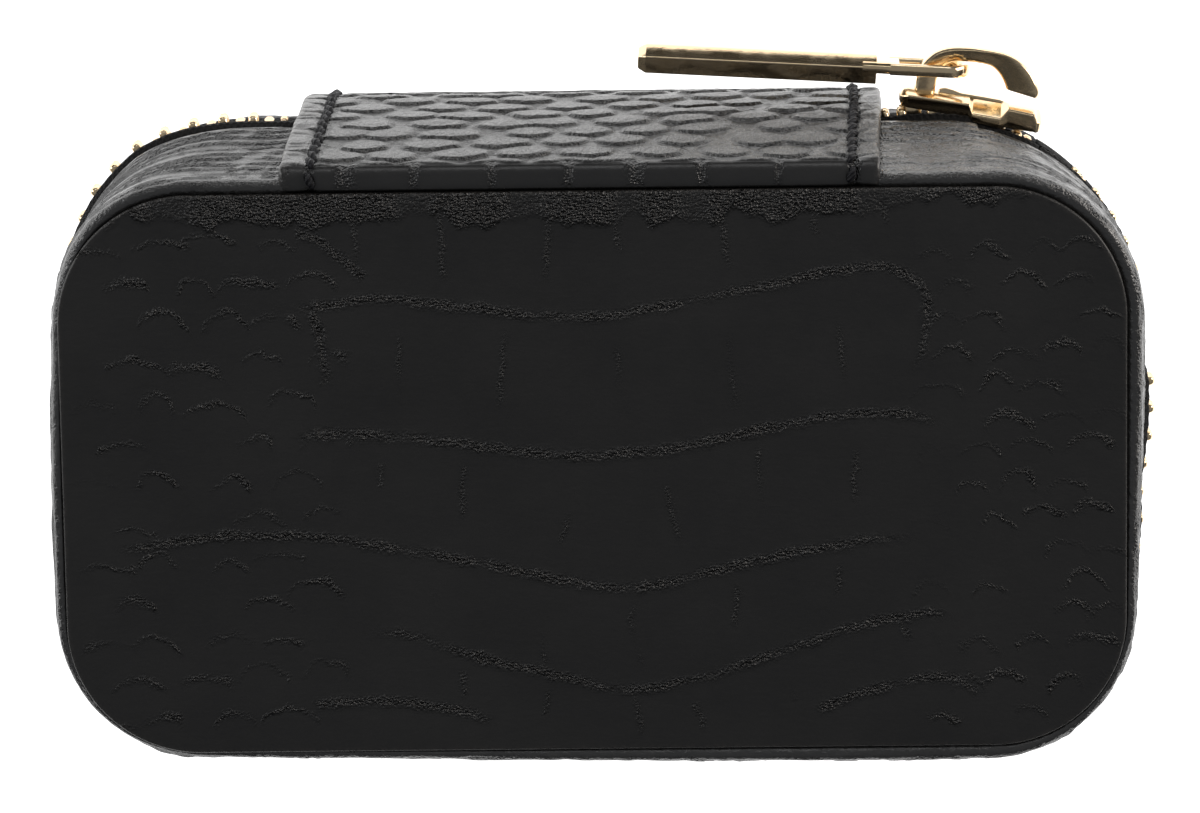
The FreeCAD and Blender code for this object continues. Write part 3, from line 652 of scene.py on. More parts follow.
def panel(name, o, z_flat, z_seat, radius, up, counts, rings, emboss):
    """Leather-covered panel: rolled edge and embossed face, closed underneath. up is 1 or -1."""
    n_s, n_c, n_l = counts
    p, n = outline(o, *counts)
    ang = np.linspace(0, np.pi / 2, 7)
    rows = [(0.6, z_seat, 0), (0.12, z_seat, 0), (0.0, z_seat + up * 0.1, 0.2), (0.0, (z_seat + z_flat - up * radius) / 2, 0.4)]
    rows += [(radius * (1 - math.cos(t)), z_flat - up * radius * (1 - math.sin(t)), 0.5 + 0.5 * t / (np.pi / 2)) for t in ang]
    P, E = [], []
    for inset, z, w in rows:
        q = outline(off(o, inset), *counts)[0]
        P.append(np.column_stack([q, np.full(len(q), z)]))
        E.append(np.full(len(q), w))
    edge = P[-1][:, :2]
    a, b, _ = off(o, radius)
    med = np.column_stack([np.clip(edge[:, 0] * ((a - b) / (a - b + 4.0)), -(a - b), a - b), np.zeros(len(edge))])
    for k in range(1, rings + 1):
        t = k / rings
        t = t * (1 - 0.12 * (1 - t))
        q = edge * (1 - t) + med * t
        P.append(np.column_stack([q, np.full(len(q), z_flat)]))
        E.append(np.ones(len(q)))
    V = np.concatenate(P)
    W = np.concatenate(E)
    h, g = emboss(V[:, 0], V[:, 1])
    V[:, 2] += up * (h * W + 0.06 * (1 - ((V[:, 0] / o[0]) ** 2 + (V[:, 1] / o[1]) ** 2) / 2) * W * 0)
    R, C = len(P), len(edge)
    # rim wear, partly a painted highlight line: strongest on the rolled edge
    wear_and_highlight = np.concatenate([np.full(C, v) for v in ([0, 0.1, 0.2, 0.4, 0.6, 0.8, 1.0, 1.0, 0.9, 0.7, 0.5] + [0.05] * rings)[:R]])
    g = g * (0.3 + 0.7 * W)
    F = grid_faces(R, C, wrap_cols=True)
    # underside
    under = []
    base = len(V)
    first = P[0][:, :2]
    medu = np.column_stack([np.clip(first[:, 0], -(a - b), a - b), np.zeros(C)])
    for t in (0.5, 1.0):
        q = first * (1 - t) + medu * t
        under.append(np.column_stack([q, np.full(C, z_seat)]))
    V = np.concatenate([V] + under)
    U = np.concatenate([np.arange(C), base + np.arange(C), base + C + np.arange(C)]).reshape(3, C)
    fu = []
    for i in range(2):
        A, B = U[i], U[i + 1]
        fu.append(np.stack([np.roll(A, -1), A, B, np.roll(B, -1)], 1))
    F = np.concatenate([F] + fu)
    z = np.zeros(2 * C)
    ob = new_object(name, V, F, (), {"groove_shade": np.concatenate([g, z]), "wear_and_highlight": np.concatenate([wear_and_highlight, z])})
    return clean(ob, 2e-6, True)


lid_panel = panel("lid_panel_skin", PANEL, Z_TOP, Z_SHELF + 0.06, 0.24, 1, (100, 66, 250), 92, panel_emboss)
finish_piece(lid_panel, M_FACE, "lid", ("lid_panel_leather",))


def foot_emboss(x, y):
    """Plain small scales on the base panel."""
    f1, f2, dx, dy, rid = scales(x + 0.7 * np.sin(y * 0.3), y + 0.9 * np.sin(x * 0.14), 6.4, 4.0, 171, 0.2)
    # g also paints shade: the joints between the scales are darkened
    g = (1 - np.clip((f2 - f1) / 0.16, 0, 1)) ** 1.5
    return -0.14 * g, g


foot_panel = panel("base_panel_skin", FOOT, 0.0, Z_SOLE - 0.06, 0.6, -1, (56, 44, 130), 44, lambda x, y: (lambda r: (np.minimum(r[0], 0.0), r[1]))(foot_emboss(x, y)))
finish_piece(foot_panel, M_BASE, "base", ("base_panel_leather",))


# ------------------------------------------------------------------ walls
def zip_swell(nx, ny, side, y=None):
    """The zip stands out at the back left corner and draws in along the left side. It stands out again on the right side, short of where the slider runs; the leather doesn't follow it there."""
    if nx > 0.2:
        s = 0.0 if y is None else 0.7 * float(np.interp(y, [-6.5, -2.5, 0.0, 3.8, 6.6], [0, 0.7, 1, 1, 0]))
        return s if side > 0 else 0.5 * s
    turn = math.degrees(math.atan2(ny, -nx))
    s = float(np.interp(turn, [-60, -30, 0, 12, 20, 27, 34, 40, 47, 58, 68, 80, 90], [0, -0.15, -0.4, -0.55, -0.6, -0.15, 0.1, 0.4, 0.65, 1.1, 1.0, 0.65, 0.5]))
    return s if side > 0 else min(s, 0.5 * s)


def wall(name, at, z_edge, z_roll, z_end, up, seed, counts, step, stand, rise):
    """Wall leather: turned edge at the zip, creased wall, rolled shoulder at the panel. Closed shell."""
    rows = [(0.42, z_edge + up * 0.22, 0.0, 0.0), (0.33, z_edge + up * 0.04, 0.0, 0.3), (0.2, z_edge, 0.0, 0.6), (0.07, z_edge + up * 0.06, 0.1, 0.8), (0.01, z_edge + up * 0.24, 0.35, 0.5)]
    n = int(abs(z_roll - z_edge - up * 0.5) / step)
    for z in np.linspace(z_edge + up * 0.5, z_roll, n):
        rows.append((0.0, z, 1.0, 0.08))
    r = abs(z_end - z_roll)
    for t in np.linspace(0, np.pi / 2, 9)[1:]:
        rows.append((0.9 * (1 - math.cos(t)), z_roll + up * r * math.sin(t), 0.9 * math.cos(t) + 0.05, 0.1 + 0.2 * math.sin(2 * t)))
    rows.append((0.97, z_end - up * 0.12, 0.0, 0.0))
    rows.append((1.06, z_end - up * 0.4, 0.0, 0.0))
    for f in (0.75, 0.5, 0.25):
        rows.append((1.06, z_edge + (z_end - z_edge) * f, 0.0, 0.0))
    rows.append((1.04, z_edge + up * 2.6, 0.0, 0.0))
    rows.append((0.55, z_edge + up * 1.9, 0.0, 0.0))
    P, G, Wr = [], [], []
    mid_p, mid_n = outline(at((z_edge + z_roll) / 2), *counts)
    u = arc_length(mid_p)
    total_u = u[-1] + np.linalg.norm(mid_p[0] - mid_p[-1])
    k = round(total_u / 8.0)
    ulen = total_u / k          # whole number of scales round the wall
    ang = 2 * np.pi * u / total_u
    ring_r = total_u / (2 * np.pi)
    # distance round the wall from the middle of the front, where the pattern joins
    ring_n = (u - u[np.argmin(np.abs(mid_p[:, 0]) + (mid_p[:, 1] > 0) * 999)]) % total_u
    seam = smooth01(np.minimum(ring_n, total_u - ring_n) / 2.5)
    # under the spine the leather stays flat and low
    hid = smooth01((mid_p[:, 0] - SPINE_X0 - 2.4) / 1.6) * smooth01((SPINE_X1 - 2.4 - mid_p[:, 0]) / 1.6) * (mid_n[:, 1] > 0.5)
    # how far the leather stands off its core, round the outline by side and corner
    part_at = np.concatenate([i + np.arange(m) / m for i, m in enumerate((counts[0], counts[1], counts[2], counts[1]) * 2)])
    full_at = np.interp(part_at, [q[0] for q in stand], [q[1] for q in stand])
    full_at = np.convolve(np.concatenate([full_at[-20:], full_at, full_at[:20]]), np.ones(41) / 41, "valid")
    # creases are strongest at the left and in the corners
    corner = 4 * (mid_n[:, 0] * mid_n[:, 1]) ** 2
    left = smooth01((SPINE_X0 + 6 - mid_p[:, 0]) / 12)
    strong = np.clip(0.7 + 0.3 * left + 0.2 * corner, 0, 1)
    # at the back left corner the edge follows the zip outwards
    flare = np.array([max(0.0, zip_swell(a, b, 1)) for a, b in mid_n]) * (up > 0)
    for inset, z, w, wr in rows:
        q, nn = outline(off(at(z), inset), *counts)
        uu = u / ulen
        v = (z - z_edge) * up
        height = abs(z_end - z_edge)
        full = full_at * (0.9 + 0.1 * smooth01(v / (0.62 * height))) * (1 - hid) * (1 if inset < 0.95 else 0)
        full = full + 0.75 * flare * (1 - smooth01(v / 10)) * (1 - hid) * (1 if inset < 0.95 else 0)
        over = smooth01((v - abs(z_roll - z_edge) + 1.5) / (r + 1.5)) if v > abs(z_roll - z_edge) - 1.5 else 0.0
        zz = z + up * rise * over * (1 - hid) * (1 if inset < 1.0 else 0.6)
        # closed noise coordinates round the wall
        cx, cy = ring_r * np.cos(ang), ring_r * np.sin(ang)
        drift = 1.1 * (vnoise(cx * 0.09 + 50, cy * 0.09 + 50, seed + 3) - 0.5) + 0.8 * (vnoise(cx * 0.3 + 50, cy * 0.3 + 50 + v * 0.3, seed + 4) - 0.5)
        f1, f2, dx, dy, rid = wrap_scales(uu, (v + drift) / 2.3, k, seed, 0.3)
        gap = np.clip((f2 - f1) / 0.34, 0, 1)
        puff = np.sqrt(np.clip(1 - (1 - gap) ** 2, 0, 1))
        band = 1.0
        # long folds along the wall, each with a slow rise and a short step down towards the panel
        turn = v / 1.75 + 1.3 * over + 1.5 * vnoise(ring_n * 0.05, v * 0.10 + 40, seed + 8) + 0.5 * vnoise(ring_n * 0.17 + 7, v * 0.32 + 80, seed + 18) + (0.14 + 0.5 * (1 - left)) * vnoise(ring_n * 0.45, v * 0.55, seed + 21)
        f = turn - np.floor(turn)
        fold = np.where(f < 0.84, (f / 0.84) ** 1.6, (1 - f) / 0.16)
        keep = (0.15 + 0.85 * smooth01((vnoise(ring_n * (0.10 + 0.08 * (1 - left)), np.floor(turn) * 3.7, seed + 28) - 0.28 - 0.14 * (1 - left)) / 0.25)) * strong * seam
        turn2 = v / 0.95 + 1.9 * vnoise(ring_n * 0.09 + 3, v * 0.2 + 20, seed + 48)
        f2nd = turn2 - np.floor(turn2)
        fold2 = np.where(f2nd < 0.75, f2nd / 0.75, (1 - f2nd) / 0.25)
        keep2 = smooth01((vnoise(ring_n * 0.16, np.floor(turn2) * 2.9, seed + 58) - 0.5) / 0.2) * seam
        crease = np.clip(smooth01((f - 0.72) / 0.14) * keep, 0, 1)
        fine = vnoise(cx * 0.9 + 9, cy * 0.9 + v * 3.2, seed + 38) - 0.5
        h = (-(1 - puff) * (0.05 * (0.35 + 0.8 * rid)) + ((0.28 + 0.05 * left) * (fold - 0.4) - 0.11 * np.exp(-((f - 0.03) / 0.13) ** 2)) * keep + 0.07 * (fold2 - 0.4) * keep2 + (0.05 + 0.05 * (1 - left)) * fine) * band * w - 0.03 * w + full
        q = q + nn * h[:, None]
        P.append(np.column_stack([q, np.full(len(q), z) + (zz - z)]))
        # groove mask: painted shade in the creases and between the scales; it also darkens the whole wall face a
        # little, more away from the left end
        G.append(np.clip(0.2 + 0.2 * (1 - left) + (1 - gap) ** 1.5 * 0.25 + 0.6 * crease, 0, 1) * w)
        Wr.append(np.full(len(q), wr))
    V = np.concatenate(P)
    ob = new_object(name, V, grid_faces(len(rows), len(u), True, True), (), {"groove_shade": np.concatenate(G), "wear_and_highlight": np.concatenate(Wr)})
    return clean(ob, 0.0, True)


def wrap_scales(U, W, k, seed, jit):
    """Brick-laid scales on a closed band of k scales round."""
    W = np.broadcast_to(W, U.shape)
    r0 = np.floor(W).astype(np.int64)
    f1, f2 = np.full(U.shape, 9.0), np.full(U.shape, 9.0)
    dx, dy, rid = np.zeros(U.shape), np.zeros(U.shape), np.zeros(U.shape)
    for dr in (-1, 0, 1):
        r = r0 + dr
        o = 0.5 * (r % 2)
        c0 = np.floor(U - o).astype(np.int64)
        for dc in (-1, 0, 1):
            c = c0 + dc
            cm = c % k
            px = c + o + 0.5 + (hash01(cm, r, seed) - 0.5) * 2 * jit
            py = r + 0.5 + (hash01(cm, r, seed + 7) - 0.5) * jit
            d = np.hypot(U - px, W - py)
            near = d < f1
            f2 = np.where(near, f1, np.minimum(f2, d))
            dx, dy = np.where(near, U - px, dx), np.where(near, W - py, dy)
            rid = np.where(near, hash01(cm, r, seed + 13), rid)
            f1 = np.where(near, d, f1)
    return f1, f2, dx, dy, rid


LID_STAND = [(0, 0.06), (0.5, 0.4), (0.8, 0.6), (1, 0.56), (2, 0.46), (3.3, 0.46), (3.5, 0.3), (3.7, -0.3), (3.9, -0.5), (4.1, -0.3), (4.4, 0.12), (4.7, 0.15), (5, 0.05), (5.25, -0.3), (5.6, -0.42), (6, -0.3), (6.2, 0.05), (6.35, 0.25), (6.5, 0.5), (6.8, 0.76), (7, 0.66), (7.3, 0.26), (7.6, -0.04), (7.85, -0.2), (8, 0.06)]
BASE_STAND = [(0, -0.15), (1, -0.3), (2, -0.55), (3, -0.55), (4, -0.4), (5, -0.4), (6, -0.25), (7, -0.25), (8, -0.15)]
lid_wall = wall("lid_wall_skin", lid_at, Z_ZIP + 4.4, LID_ROLL_Z, Z_SHELF, 1, 201, (90, 110, 270), 0.2, LID_STAND, 1.0)
finish_piece(lid_wall, M_WALL, "lid", ("lid_wall_leather",))
base_wall = wall("base_wall_skin", base_at, Z_ZIP - 4.4, BASE_ROLL_Z, Z_SOLE, -1, 301, (64, 84, 190), 0.32, BASE_STAND, 0.0)
finish_piece(base_wall, M_BASE, "base", ("base_wall_leather",))

# ------------------------------------------------------------------ spine, one strip of leather from the base edge over the hinge to the lid panel
SPINE_PATH = [(29.55, 2.05), (29.98, 4.4), (30.75, 9.0), (31.25, 12.3), (31.42, 15.0), (31.42, 19.4), (31.42, 23.5), (31.30, 27.2), (31.0, 32.0), (30.7, 36.6), (30.5, 39.3), (30.38, 40.5), (30.12, 41.25), (29.6, 41.62), (28.9, 41.74), (28.2, 41.76), (27.68, 41.6)]
path, pv = spline(SPINE_PATH, 0.2)
tan = np.gradient(path, axis=0)
tan /= np.linalg.norm(tan, axis=1)[:, None]
nrm = np.column_stack([tan[:, 1], -tan[:, 0]])      # outward in (y, z)
V_TOTAL = pv[-1]
Z_ROLL_V = float(np.interp(40.9, path[:, 1][: len(path) - 10], pv[: len(path) - 10]))


def spine_relief(x, v):
    """Height and groove mask of the leaf-shaped scales across the spine."""
    xw = x + 1.3 * (fbm(x * 0.12, v * 0.2, 71) - 0.5)
    vw = v + 1.5 * (vnoise(x * 0.06, v * 0.08, 73) - 0.5) + 0.4 * (fbm(x * 0.3, v * 0.3, 75) - 0.5)
    L, dx, dy, rid = lenses(xw, vw, 6.2, 3.75, 77, 0.17, 0.515, 0.60)
    # the side towards the lid ends in a lip, sharp in the middle and soft at the tips; the other side sinks slowly
    lip = smooth01((dy - 0.10) / 0.45)
    inside = smooth01((L + 0.02) / (0.5 - 0.39 * lip))
    crown = np.sqrt(np.clip(L, 0, 1))
    depth = 0.16 + 0.09 * rid
    ridge = (1 - np.abs(2 * vnoise(xw * 0.7, vw * 1.9, 79) - 1)) * (1 - inside)
    h = -depth * (1 - inside) + 0.13 * crown * inside - 0.12 + 0.08 * ridge
    # each scale is lifted a little on the side towards the lid
    h += 0.13 * dy * inside
    fine = fbm(xw * 1.9 + 0.8 * vw, vw * 0.9, 81, 2) - 0.5
    h += 0.07 * fine
    # g paints shade: dark in the gaps between scales and darkest in the slit under each lip
    g = (1 - inside) * 0.2 + 0.8 * np.exp(-((L - 0.02) / 0.09) ** 2) * lip
    # the shoulder next to the panel has one row of wide cells
    sx = x + 0.6 * np.sin(x * 0.7) + 0.5 * (vnoise(x * 0.5, v * 0.9, 83) - 0.5)
    cell = sx / 6.9 + 0.31
    e = np.abs(cell - np.round(cell)) * 6.9
    hs = -0.15 * np.exp(-(e / 0.42) ** 2) - 0.10 * np.exp(-e / 1.0) + 0.06 * (vnoise(x * 2.4, v * 2.4, 85) - 0.5) * np.exp(-(e / 0.8) ** 2)
    # gs paints shade along the joints between the shoulder cells
    gs = np.exp(-(e / 0.62) ** 2)
    t = smooth01((v + 0.45 * np.exp(-(e / 1.1) ** 2) - (Z_ROLL_V - 0.25)) / 0.7)
    edge = smooth01((V_TOTAL - v) / 0.5) * smooth01(v / 0.8)
    return (h * (1 - t) + hs * t) * edge, (g * (1 - t) + 0.95 * gs * t) * edge, (1 - t) * (0.35 + 0.65 * inside)


def spine_skew(x, z):
    """The strip is sewn on a little askew."""
    t = np.clip((z - Z_ZIP) / 22.2, 0, 1)
    k = (x - SPINE_X0) / (SPINE_X1 - SPINE_X0)
    return (0.64 - 0.80 * t) * (1 - k) + (0.15 - 0.65 * t) * k


def spine_rise(x, z):
    """It also rides a little higher towards its right end, between the two sewn edges."""
    k = (x - SPINE_X0) / (SPINE_X1 - SPINE_X0)
    return 0.34 * smooth01((k - 0.3) / 0.7) * smooth01((z - Z_ZIP + 12.0) / 6.0) * smooth01((Z_ZIP + 20.0 - z) / 9.0)


def spine_piece():
    ends = [(0.5, -1.5), (0.2, -1.42), (0.04, -1.15), (0.0, -0.8), (0.04, -0.42), (0.17, -0.17), (0.4, -0.04)]
    xs = np.linspace(SPINE_X0 + 0.75, SPINE_X1 - 0.75, 236)
    X = np.concatenate([[SPINE_X0 + e[0] for e in ends], xs, [SPINE_X1 - e[0] for e in reversed(ends)]])
    D = np.concatenate([[e[1] for e in ends], np.zeros(len(xs)), [e[1] for e in reversed(ends)]])
    inner = np.concatenate([np.ones(1), np.zeros(len(X) - 2), np.ones(1)])
    P, G, Wr, T = [], [], [], []
    for i in range(len(pv)):
        s = np.full(X.shape, pv[i])
        h, g, tw = spine_relief(X, s)
        T.append(tw)
        # ends wander a little and the row of stitches sits in a shallow furrow
        e = np.minimum(X - SPINE_X0, SPINE_X1 - X)
        rim = smooth01(e / 1.4)
        row = np.where(X < 0.5 * (SPINE_X0 + SPINE_X1), 2.95, 2.5)
        furrow = 0.22 * np.exp(-((e - row) / 0.6) ** 2)
        calm = 1 - 0.75 * np.exp(-((e - 1.2) / 1.1) ** 2)
        fold = -0.16 * smooth01((1 - np.abs(2 * vnoise(pv[i] * 0.55 + 3, X * 0.1, 93) - 1) - 0.72) / 0.28) * np.exp(-((e - 1.0) / 0.9) ** 2)
        hh = h * rim * calm * (D > -0.3) - furrow + fold
        taper = min(1.0, 0.45 + 0.55 * min(pv[i], V_TOTAL - pv[i]) / 1.3) if pv[i] < V_TOTAL / 2 else 0.5 + 0.5 * float(smooth01((Z_ROLL_V + 0.3 - pv[i]) / 2.0))
        d = np.where(D < 0, D * taper, hh)
        wob = 0.16 * (vnoise(pv[i] * 0.35, 0.0, 91) - 0.5)
        xx = X + np.where(e < 1.0, wob, 0.0) + spine_skew(X, path[i, 1])
        P.append(np.column_stack([xx, path[i, 0] + nrm[i, 0] * d + spine_rise(X, path[i, 1]), path[i, 1] + nrm[i, 1] * d]))
        # painted shade: the groove mask also darkens the furrow of each stitch row
        G.append(np.clip(g * rim + 0.5 * np.exp(-((e - row) / 0.5) ** 2), 0, 1))
        Wr.append(np.exp(-(e / 0.6) ** 2) * 0.9 + 0.06)
    R, C = len(P), len(X)
    V = np.concatenate(P)
    F = grid_faces(R, C, wrap_cols=True)
    ob = new_object("spine_leather", V, F, [list(range(C)), [(R - 1) * C + k for k in range(C)][::-1]], {"groove_shade": np.concatenate(G), "wear_and_highlight": np.concatenate(Wr), "twill": np.concatenate(T)})
    return clean(ob, 0.0, True)


spine = spine_piece()
finish_piece(spine, M_SPINE, None, ("base_spine_leather", "lid_spine_leather"))
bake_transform(spine)


def at_v(v):
    y, z = np.interp(v, pv, path[:, 0]), np.interp(v, pv, path[:, 1])
    t = np.array([np.interp(v, pv, tan[:, 0]), np.interp(v, pv, tan[:, 1])])
    t /= np.linalg.norm(t)
    return np.array([y, z]), t, np.array([t[1], -t[0]])


def stitch_rows():
    """Waxed thread sewn through the spine near each end: fat two-ply stitches that dip into their holes."""
    V, F, A = [], [], []
    seg, nr = 12, 15
    for side, xc in ((1, SPINE_X0 + 3.0), (-1, SPINE_X1 - 2.7)):
        v = 0.9
        k = 0
        while v + 1.6 < V_TOTAL - 0.1:
            length = min(2.15 + 0.2 * (hash01(k, side, 5) - 0.5), V_TOTAL - 0.15 - v)
            slant = math.radians(15 + 8 * (hash01(k, side, 9) - 0.5)) * side
            start = len(V)
            for i in range(nr):
                t = i / (nr - 1)
                a = t * 2 - 1
                s = v + length * t
                p, tg, n = at_v(s)
                r = 0.31 * math.sqrt(max(0.0, 1 - abs(a) ** 2.6)) + 0.05
                lift = 0.06 - 0.44 * abs(a) ** 2.6
                for j in range(seg):
                    ph = 2 * math.pi * j / seg
                    rr = r * (1 + 0.17 * math.cos(2 * (ph - 2.6 * side * s)))
                    dxm = rr * math.cos(ph) * 1.05 + math.tan(slant) * (t - 0.5) * length
                    dn = rr * 0.9 * math.sin(ph) + lift
                    V.append((xc + dxm + spine_skew(xc, p[1]), p[0] + n[0] * dn + float(spine_rise(xc, p[1])), p[1] + n[1] * dn))
                    A.append((s, ph / (2 * math.pi) * 1.9, 0.0))
            g = grid_faces(nr, seg, wrap_cols=True, start=start).tolist()
            F += g + [list(range(start, start + seg))[::-1], list(range(start + (nr - 1) * seg, start + nr * seg))]
            v += 2.3
            k += 1
    ob = new_object("spine_stitches", V, np.zeros((0, 4), int), F, {"weave": np.array(A)})
    return clean(ob, 0.0, True)


stitches = stitch_rows()
finish_piece(stitches, M_THREAD, None, ("base_spine_stitches", "lid_spine_stitches"))
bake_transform(stitches)

# ------------------------------------------------------------------ zip
RUNS = [
    ("line", SPINE_X0 + 1.0, ZIP[1], 90.0, SPINE_X0 + 1.0 + CX),
    ("arc", -CX, CY, 90.0, 90.0),
    ("line", -ZIP[0], CY, 180.0, 2 * CY),
    ("arc", -CX, -CY, 180.0, 90.0),
    ("line", -CX, -ZIP[1], 270.0, 2 * CX),
    ("arc", CX, -CY, 270.0, 90.0),
    ("line", ZIP[0], -CY, 0.0, 2 * CY),
    ("arc", CX, CY, 0.0, 90.0 - RUN_END),
]
END_RUNS = [("arc", CX, CY, 90.0 - RUN_END + 1.0, RUN_END - 1.0 + 15.5)]


def unit(a):
    return math.cos(math.radians(a)), math.sin(math.radians(a))


def at_length(runs, length):
    for kind, x, y, a0, amount in runs:
        span = amount if kind == "line" else math.radians(amount) * ZIP[2]
        if length <= span + 1e-9:
            if kind == "line":
                nx, ny = unit(a0)
                return x - ny * length, y + nx * length, nx, ny
            nx, ny = unit(a0 + math.degrees(length / ZIP[2]))
            return x + nx * ZIP[2], y + ny * ZIP[2], nx, ny
        length -= span
    raise ValueError("past the end of the zip")


def total(runs):
    return sum(r[4] if r[0] == "line" else math.radians(r[4]) * ZIP[2] for r in runs)


def tape_piece(name, runs, profile, side, step=0.7, s_from=0.0):
    """Woven tape carried along the zip, with its corded edge beside the teeth."""
    L = total(runs)
    n = int(L / step) + 1
    rings, W = [], []
    v = arc_length(np.array(profile))
    for i in range(n):
        s = s_from + (L - s_from) * i / (n - 1)
        x, y, nx, ny = at_length(runs, s)
        ripple = 0.05 * math.sin(s * 2 * math.pi / 1.4)
        grow = zip_swell(nx, ny, side, y)
        ring = []
        for p, z in profile:
            if side < 0 and p > 0:
                p *= 0.2
            p += ripple * (1.9 < z < 2.9) + grow * (1 - float(smooth01((z - 2.6) / 1.4)))
            ring.append((x + nx * p, y + ny * p, Z_ZIP + side * z))
        rings.append(ring)
        W += [(s, t, 0.0) for t in v]
    return rings_object(name, rings, True, {"weave": np.array(W)})


TAPE_PROFILE = [(-0.50, 1.05), (-0.2, 1.0), (0.10, 1.05), (0.14, 1.5), (0.22, 1.8), (0.42, 2.05), (0.46, 2.4), (0.36, 2.75), (0.14, 3.05), (0.08, 3.6), (-0.06, 4.2), (-0.3, 4.8), (-0.75, 5.4), (-1.24, 6.05), (-1.26, 7.3), (-1.8, 7.35), (-1.8, 5.8), (-1.15, 4.9), (-0.62, 4.1), (-0.52, 3.3)]
END_PROFILE = [(-0.50, 1.05), (-0.2, 1.0), (0.10, 1.05), (0.14, 1.5), (0.22, 1.8), (0.42, 2.05), (0.46, 2.4), (0.36, 2.75), (0.14, 3.05), (0.08, 3.6), (0.02, 3.82), (-0.2, 3.92), (-0.50, 3.88), (-0.52, 3.3)]
SKIRT_PROFILE = [(-0.45, 4.05), (0.0, 4.05), (-0.1, 4.5), (-0.62, 5.3), (-1.24, 6.05), (-1.26, 7.3), (-1.75, 7.35), (-1.75, 5.8), (-1.1, 4.85)]
for side, body in ((-1, "base"), (1, "lid")):
    t = tape_piece(body + "_zip_tape_woven", RUNS, TAPE_PROFILE, side)
    finish_piece(t, M_TAPE, body, (body + "_zip_tape",))
end_tapes = join("zip_end_tape_woven", [tape_piece("zip_end_tape_%d" % i, END_RUNS, END_PROFILE, side) for i, side in enumerate((-1, 1))])
finish_piece(end_tapes, M_TAPE, "zip_end", ("zip_end_tape",))
skirt_low = finish_piece(tape_piece("zip_end_skirt_base", END_RUNS, SKIRT_PROFILE, -1), M_TAPE, None)
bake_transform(skirt_low)
skirt_high = finish_piece(tape_piece("zip_end_skirt_lid", END_RUNS, SKIRT_PROFILE, 1), M_TAPE, None)
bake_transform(skirt_high)


def octagon(hw, s0, s1, c):
    return [(-hw + c, s0), (hw - c, s0), (hw, s0 + c), (hw, s1 - c), (hw - c, s1), (-hw + c, s1), (-hw, s1 - c), (-hw, s0 + c)]


def teeth_piece(name, runs, lengths, side, cross=0.45, width=1.25, deep=0.0, loose=1.0):
    """Metal teeth: legs clamped on the tape, waist, and a head that meshes with the other row."""
    stations = [(2.05, 0.26, -1.10, 0.44, 0.13), (1.96, 0.38, -1.26, 0.62, 0.19), (1.75, 0.46, -1.33, 0.74, 0.23), (1.4, 0.48, -1.35, 0.78, 0.24), (1.1, 0.46, -1.28, 0.72, 0.22), (0.85, 0.39, -1.05, 0.58, 0.18), (0.55, 0.39, -1.02, 0.56, 0.18), (0.3, 0.47, -1.12, 0.70, 0.23), (-cross + 0.2, 0.45, -1.10, 0.68, 0.22), (-cross + 0.05, 0.34, -0.98, 0.56, 0.17), (-cross, 0.22, -0.86, 0.42, 0.1)]
    V, F = [], []
    for length in lengths:
        x, y, nx, ny = at_length(runs, length)
        tx, ty = -ny, nx
        k = width / 1.25
        start = len(V)
        # where the slider passes, the heads stop short of the middle
        short = cross > 0 and x > CX and y > CY
        for w, hw, s0, s1, c in stations:
            if short and w < 0.3:
                w += 0.83
            elif short and w < 0.9:
                w = 0.78 + (w - 0.3) * 0.4
            if short:
                s0 *= 0.8
            for t, s in octagon(hw * k, s0, s1, c):
                grow = loose * zip_swell(nx, ny, side, y)
                s = (s - deep if s > 0 else s) + grow + 0.3 * min(max(grow, 0.0) / 0.4, 1.0)
                V.append((x + nx * s + tx * t, y + ny * s + ty * t, Z_ZIP + side * w))
        n = len(stations)
        F += grid_faces(n, 8, wrap_cols=True, start=start).tolist()
        F += [list(range(start, start + 8))[::-1], list(range(start + (n - 1) * 8, start + n * 8))]
    ob = new_object(name, V, np.zeros((0, 4), int), F)
    clean(ob, 0.0, True)
    sharp_by_angle(ob, 38)
    return ob


FIRST, PITCH = 2.35, 2.8
n_teeth = int((total(RUNS) - FIRST - 1.6) / PITCH)
for side, body, lead in ((-1, "base", 1.0), (1, "lid", 2.4)):
    t = teeth_piece(body + "_zip_teeth_metal", RUNS, [FIRST + lead + PITCH * i for i in range(n_teeth)], side, deep=0.55 if side < 0 else 0.06)
    finish_piece(t, M_TEETH, body, (body + "_zip_teeth",))
    t = teeth_piece(body + "_zip_stop_metal", RUNS, [1.85], side, -0.3, 1.0, loose=0.0)
    finish_piece(t, M_TEETH, body, (body + "_zip_stop",))
deg = math.radians(1.0) * ZIP[2]
ends = []
for side, lead in ((-1, 0.9), (1, 2.3)):
    s, ls = lead, []
    while s < (RUN_END - 1.0 + 10.4) * deg:
        ls.append(s)
        s += PITCH
    ends.append(teeth_piece("zip_end_teeth_%d" % side, END_RUNS, ls, side, -0.38, deep=0.55 if side < 0 else 0.06))
ends = join("zip_end_teeth_metal", ends)
finish_piece(ends, M_TEETH, "zip_end", ("zip_end_teeth",))
stops = join("zip_top_stops_metal", [teeth_piece("zip_top_stop_%d" % side, END_RUNS, [(RUN_END - 1.0 + 12.75) * deg], side, -0.38, 0.95) for side in (-1, 1)])
finish_piece(stops, M_TEETH, "zip_end", ("zip_top_stops",))

# ------------------------------------------------------------------ slider, bail and pull
R_CHAIN, MID_ANGLE = 19.7, 10.0


def bent(u, v, w):
    """Slider coordinates along, out and across the zip, bent round the corner."""
    a = math.radians(MID_ANGLE) + u / R_CHAIN
    return CX + (R_CHAIN + v) * math.sin(a), CY + (R_CHAIN + v) * math.cos(a), Z_ZIP + w


def straight(u, v, w):
    t = math.radians(MID_ANGLE)
    return (CX + math.sin(t) * R_CHAIN + math.cos(t) * u + math.sin(t) * v,
            CY + math.cos(t) * R_CHAIN - math.sin(t) * u + math.cos(t) * v, Z_ZIP + w)


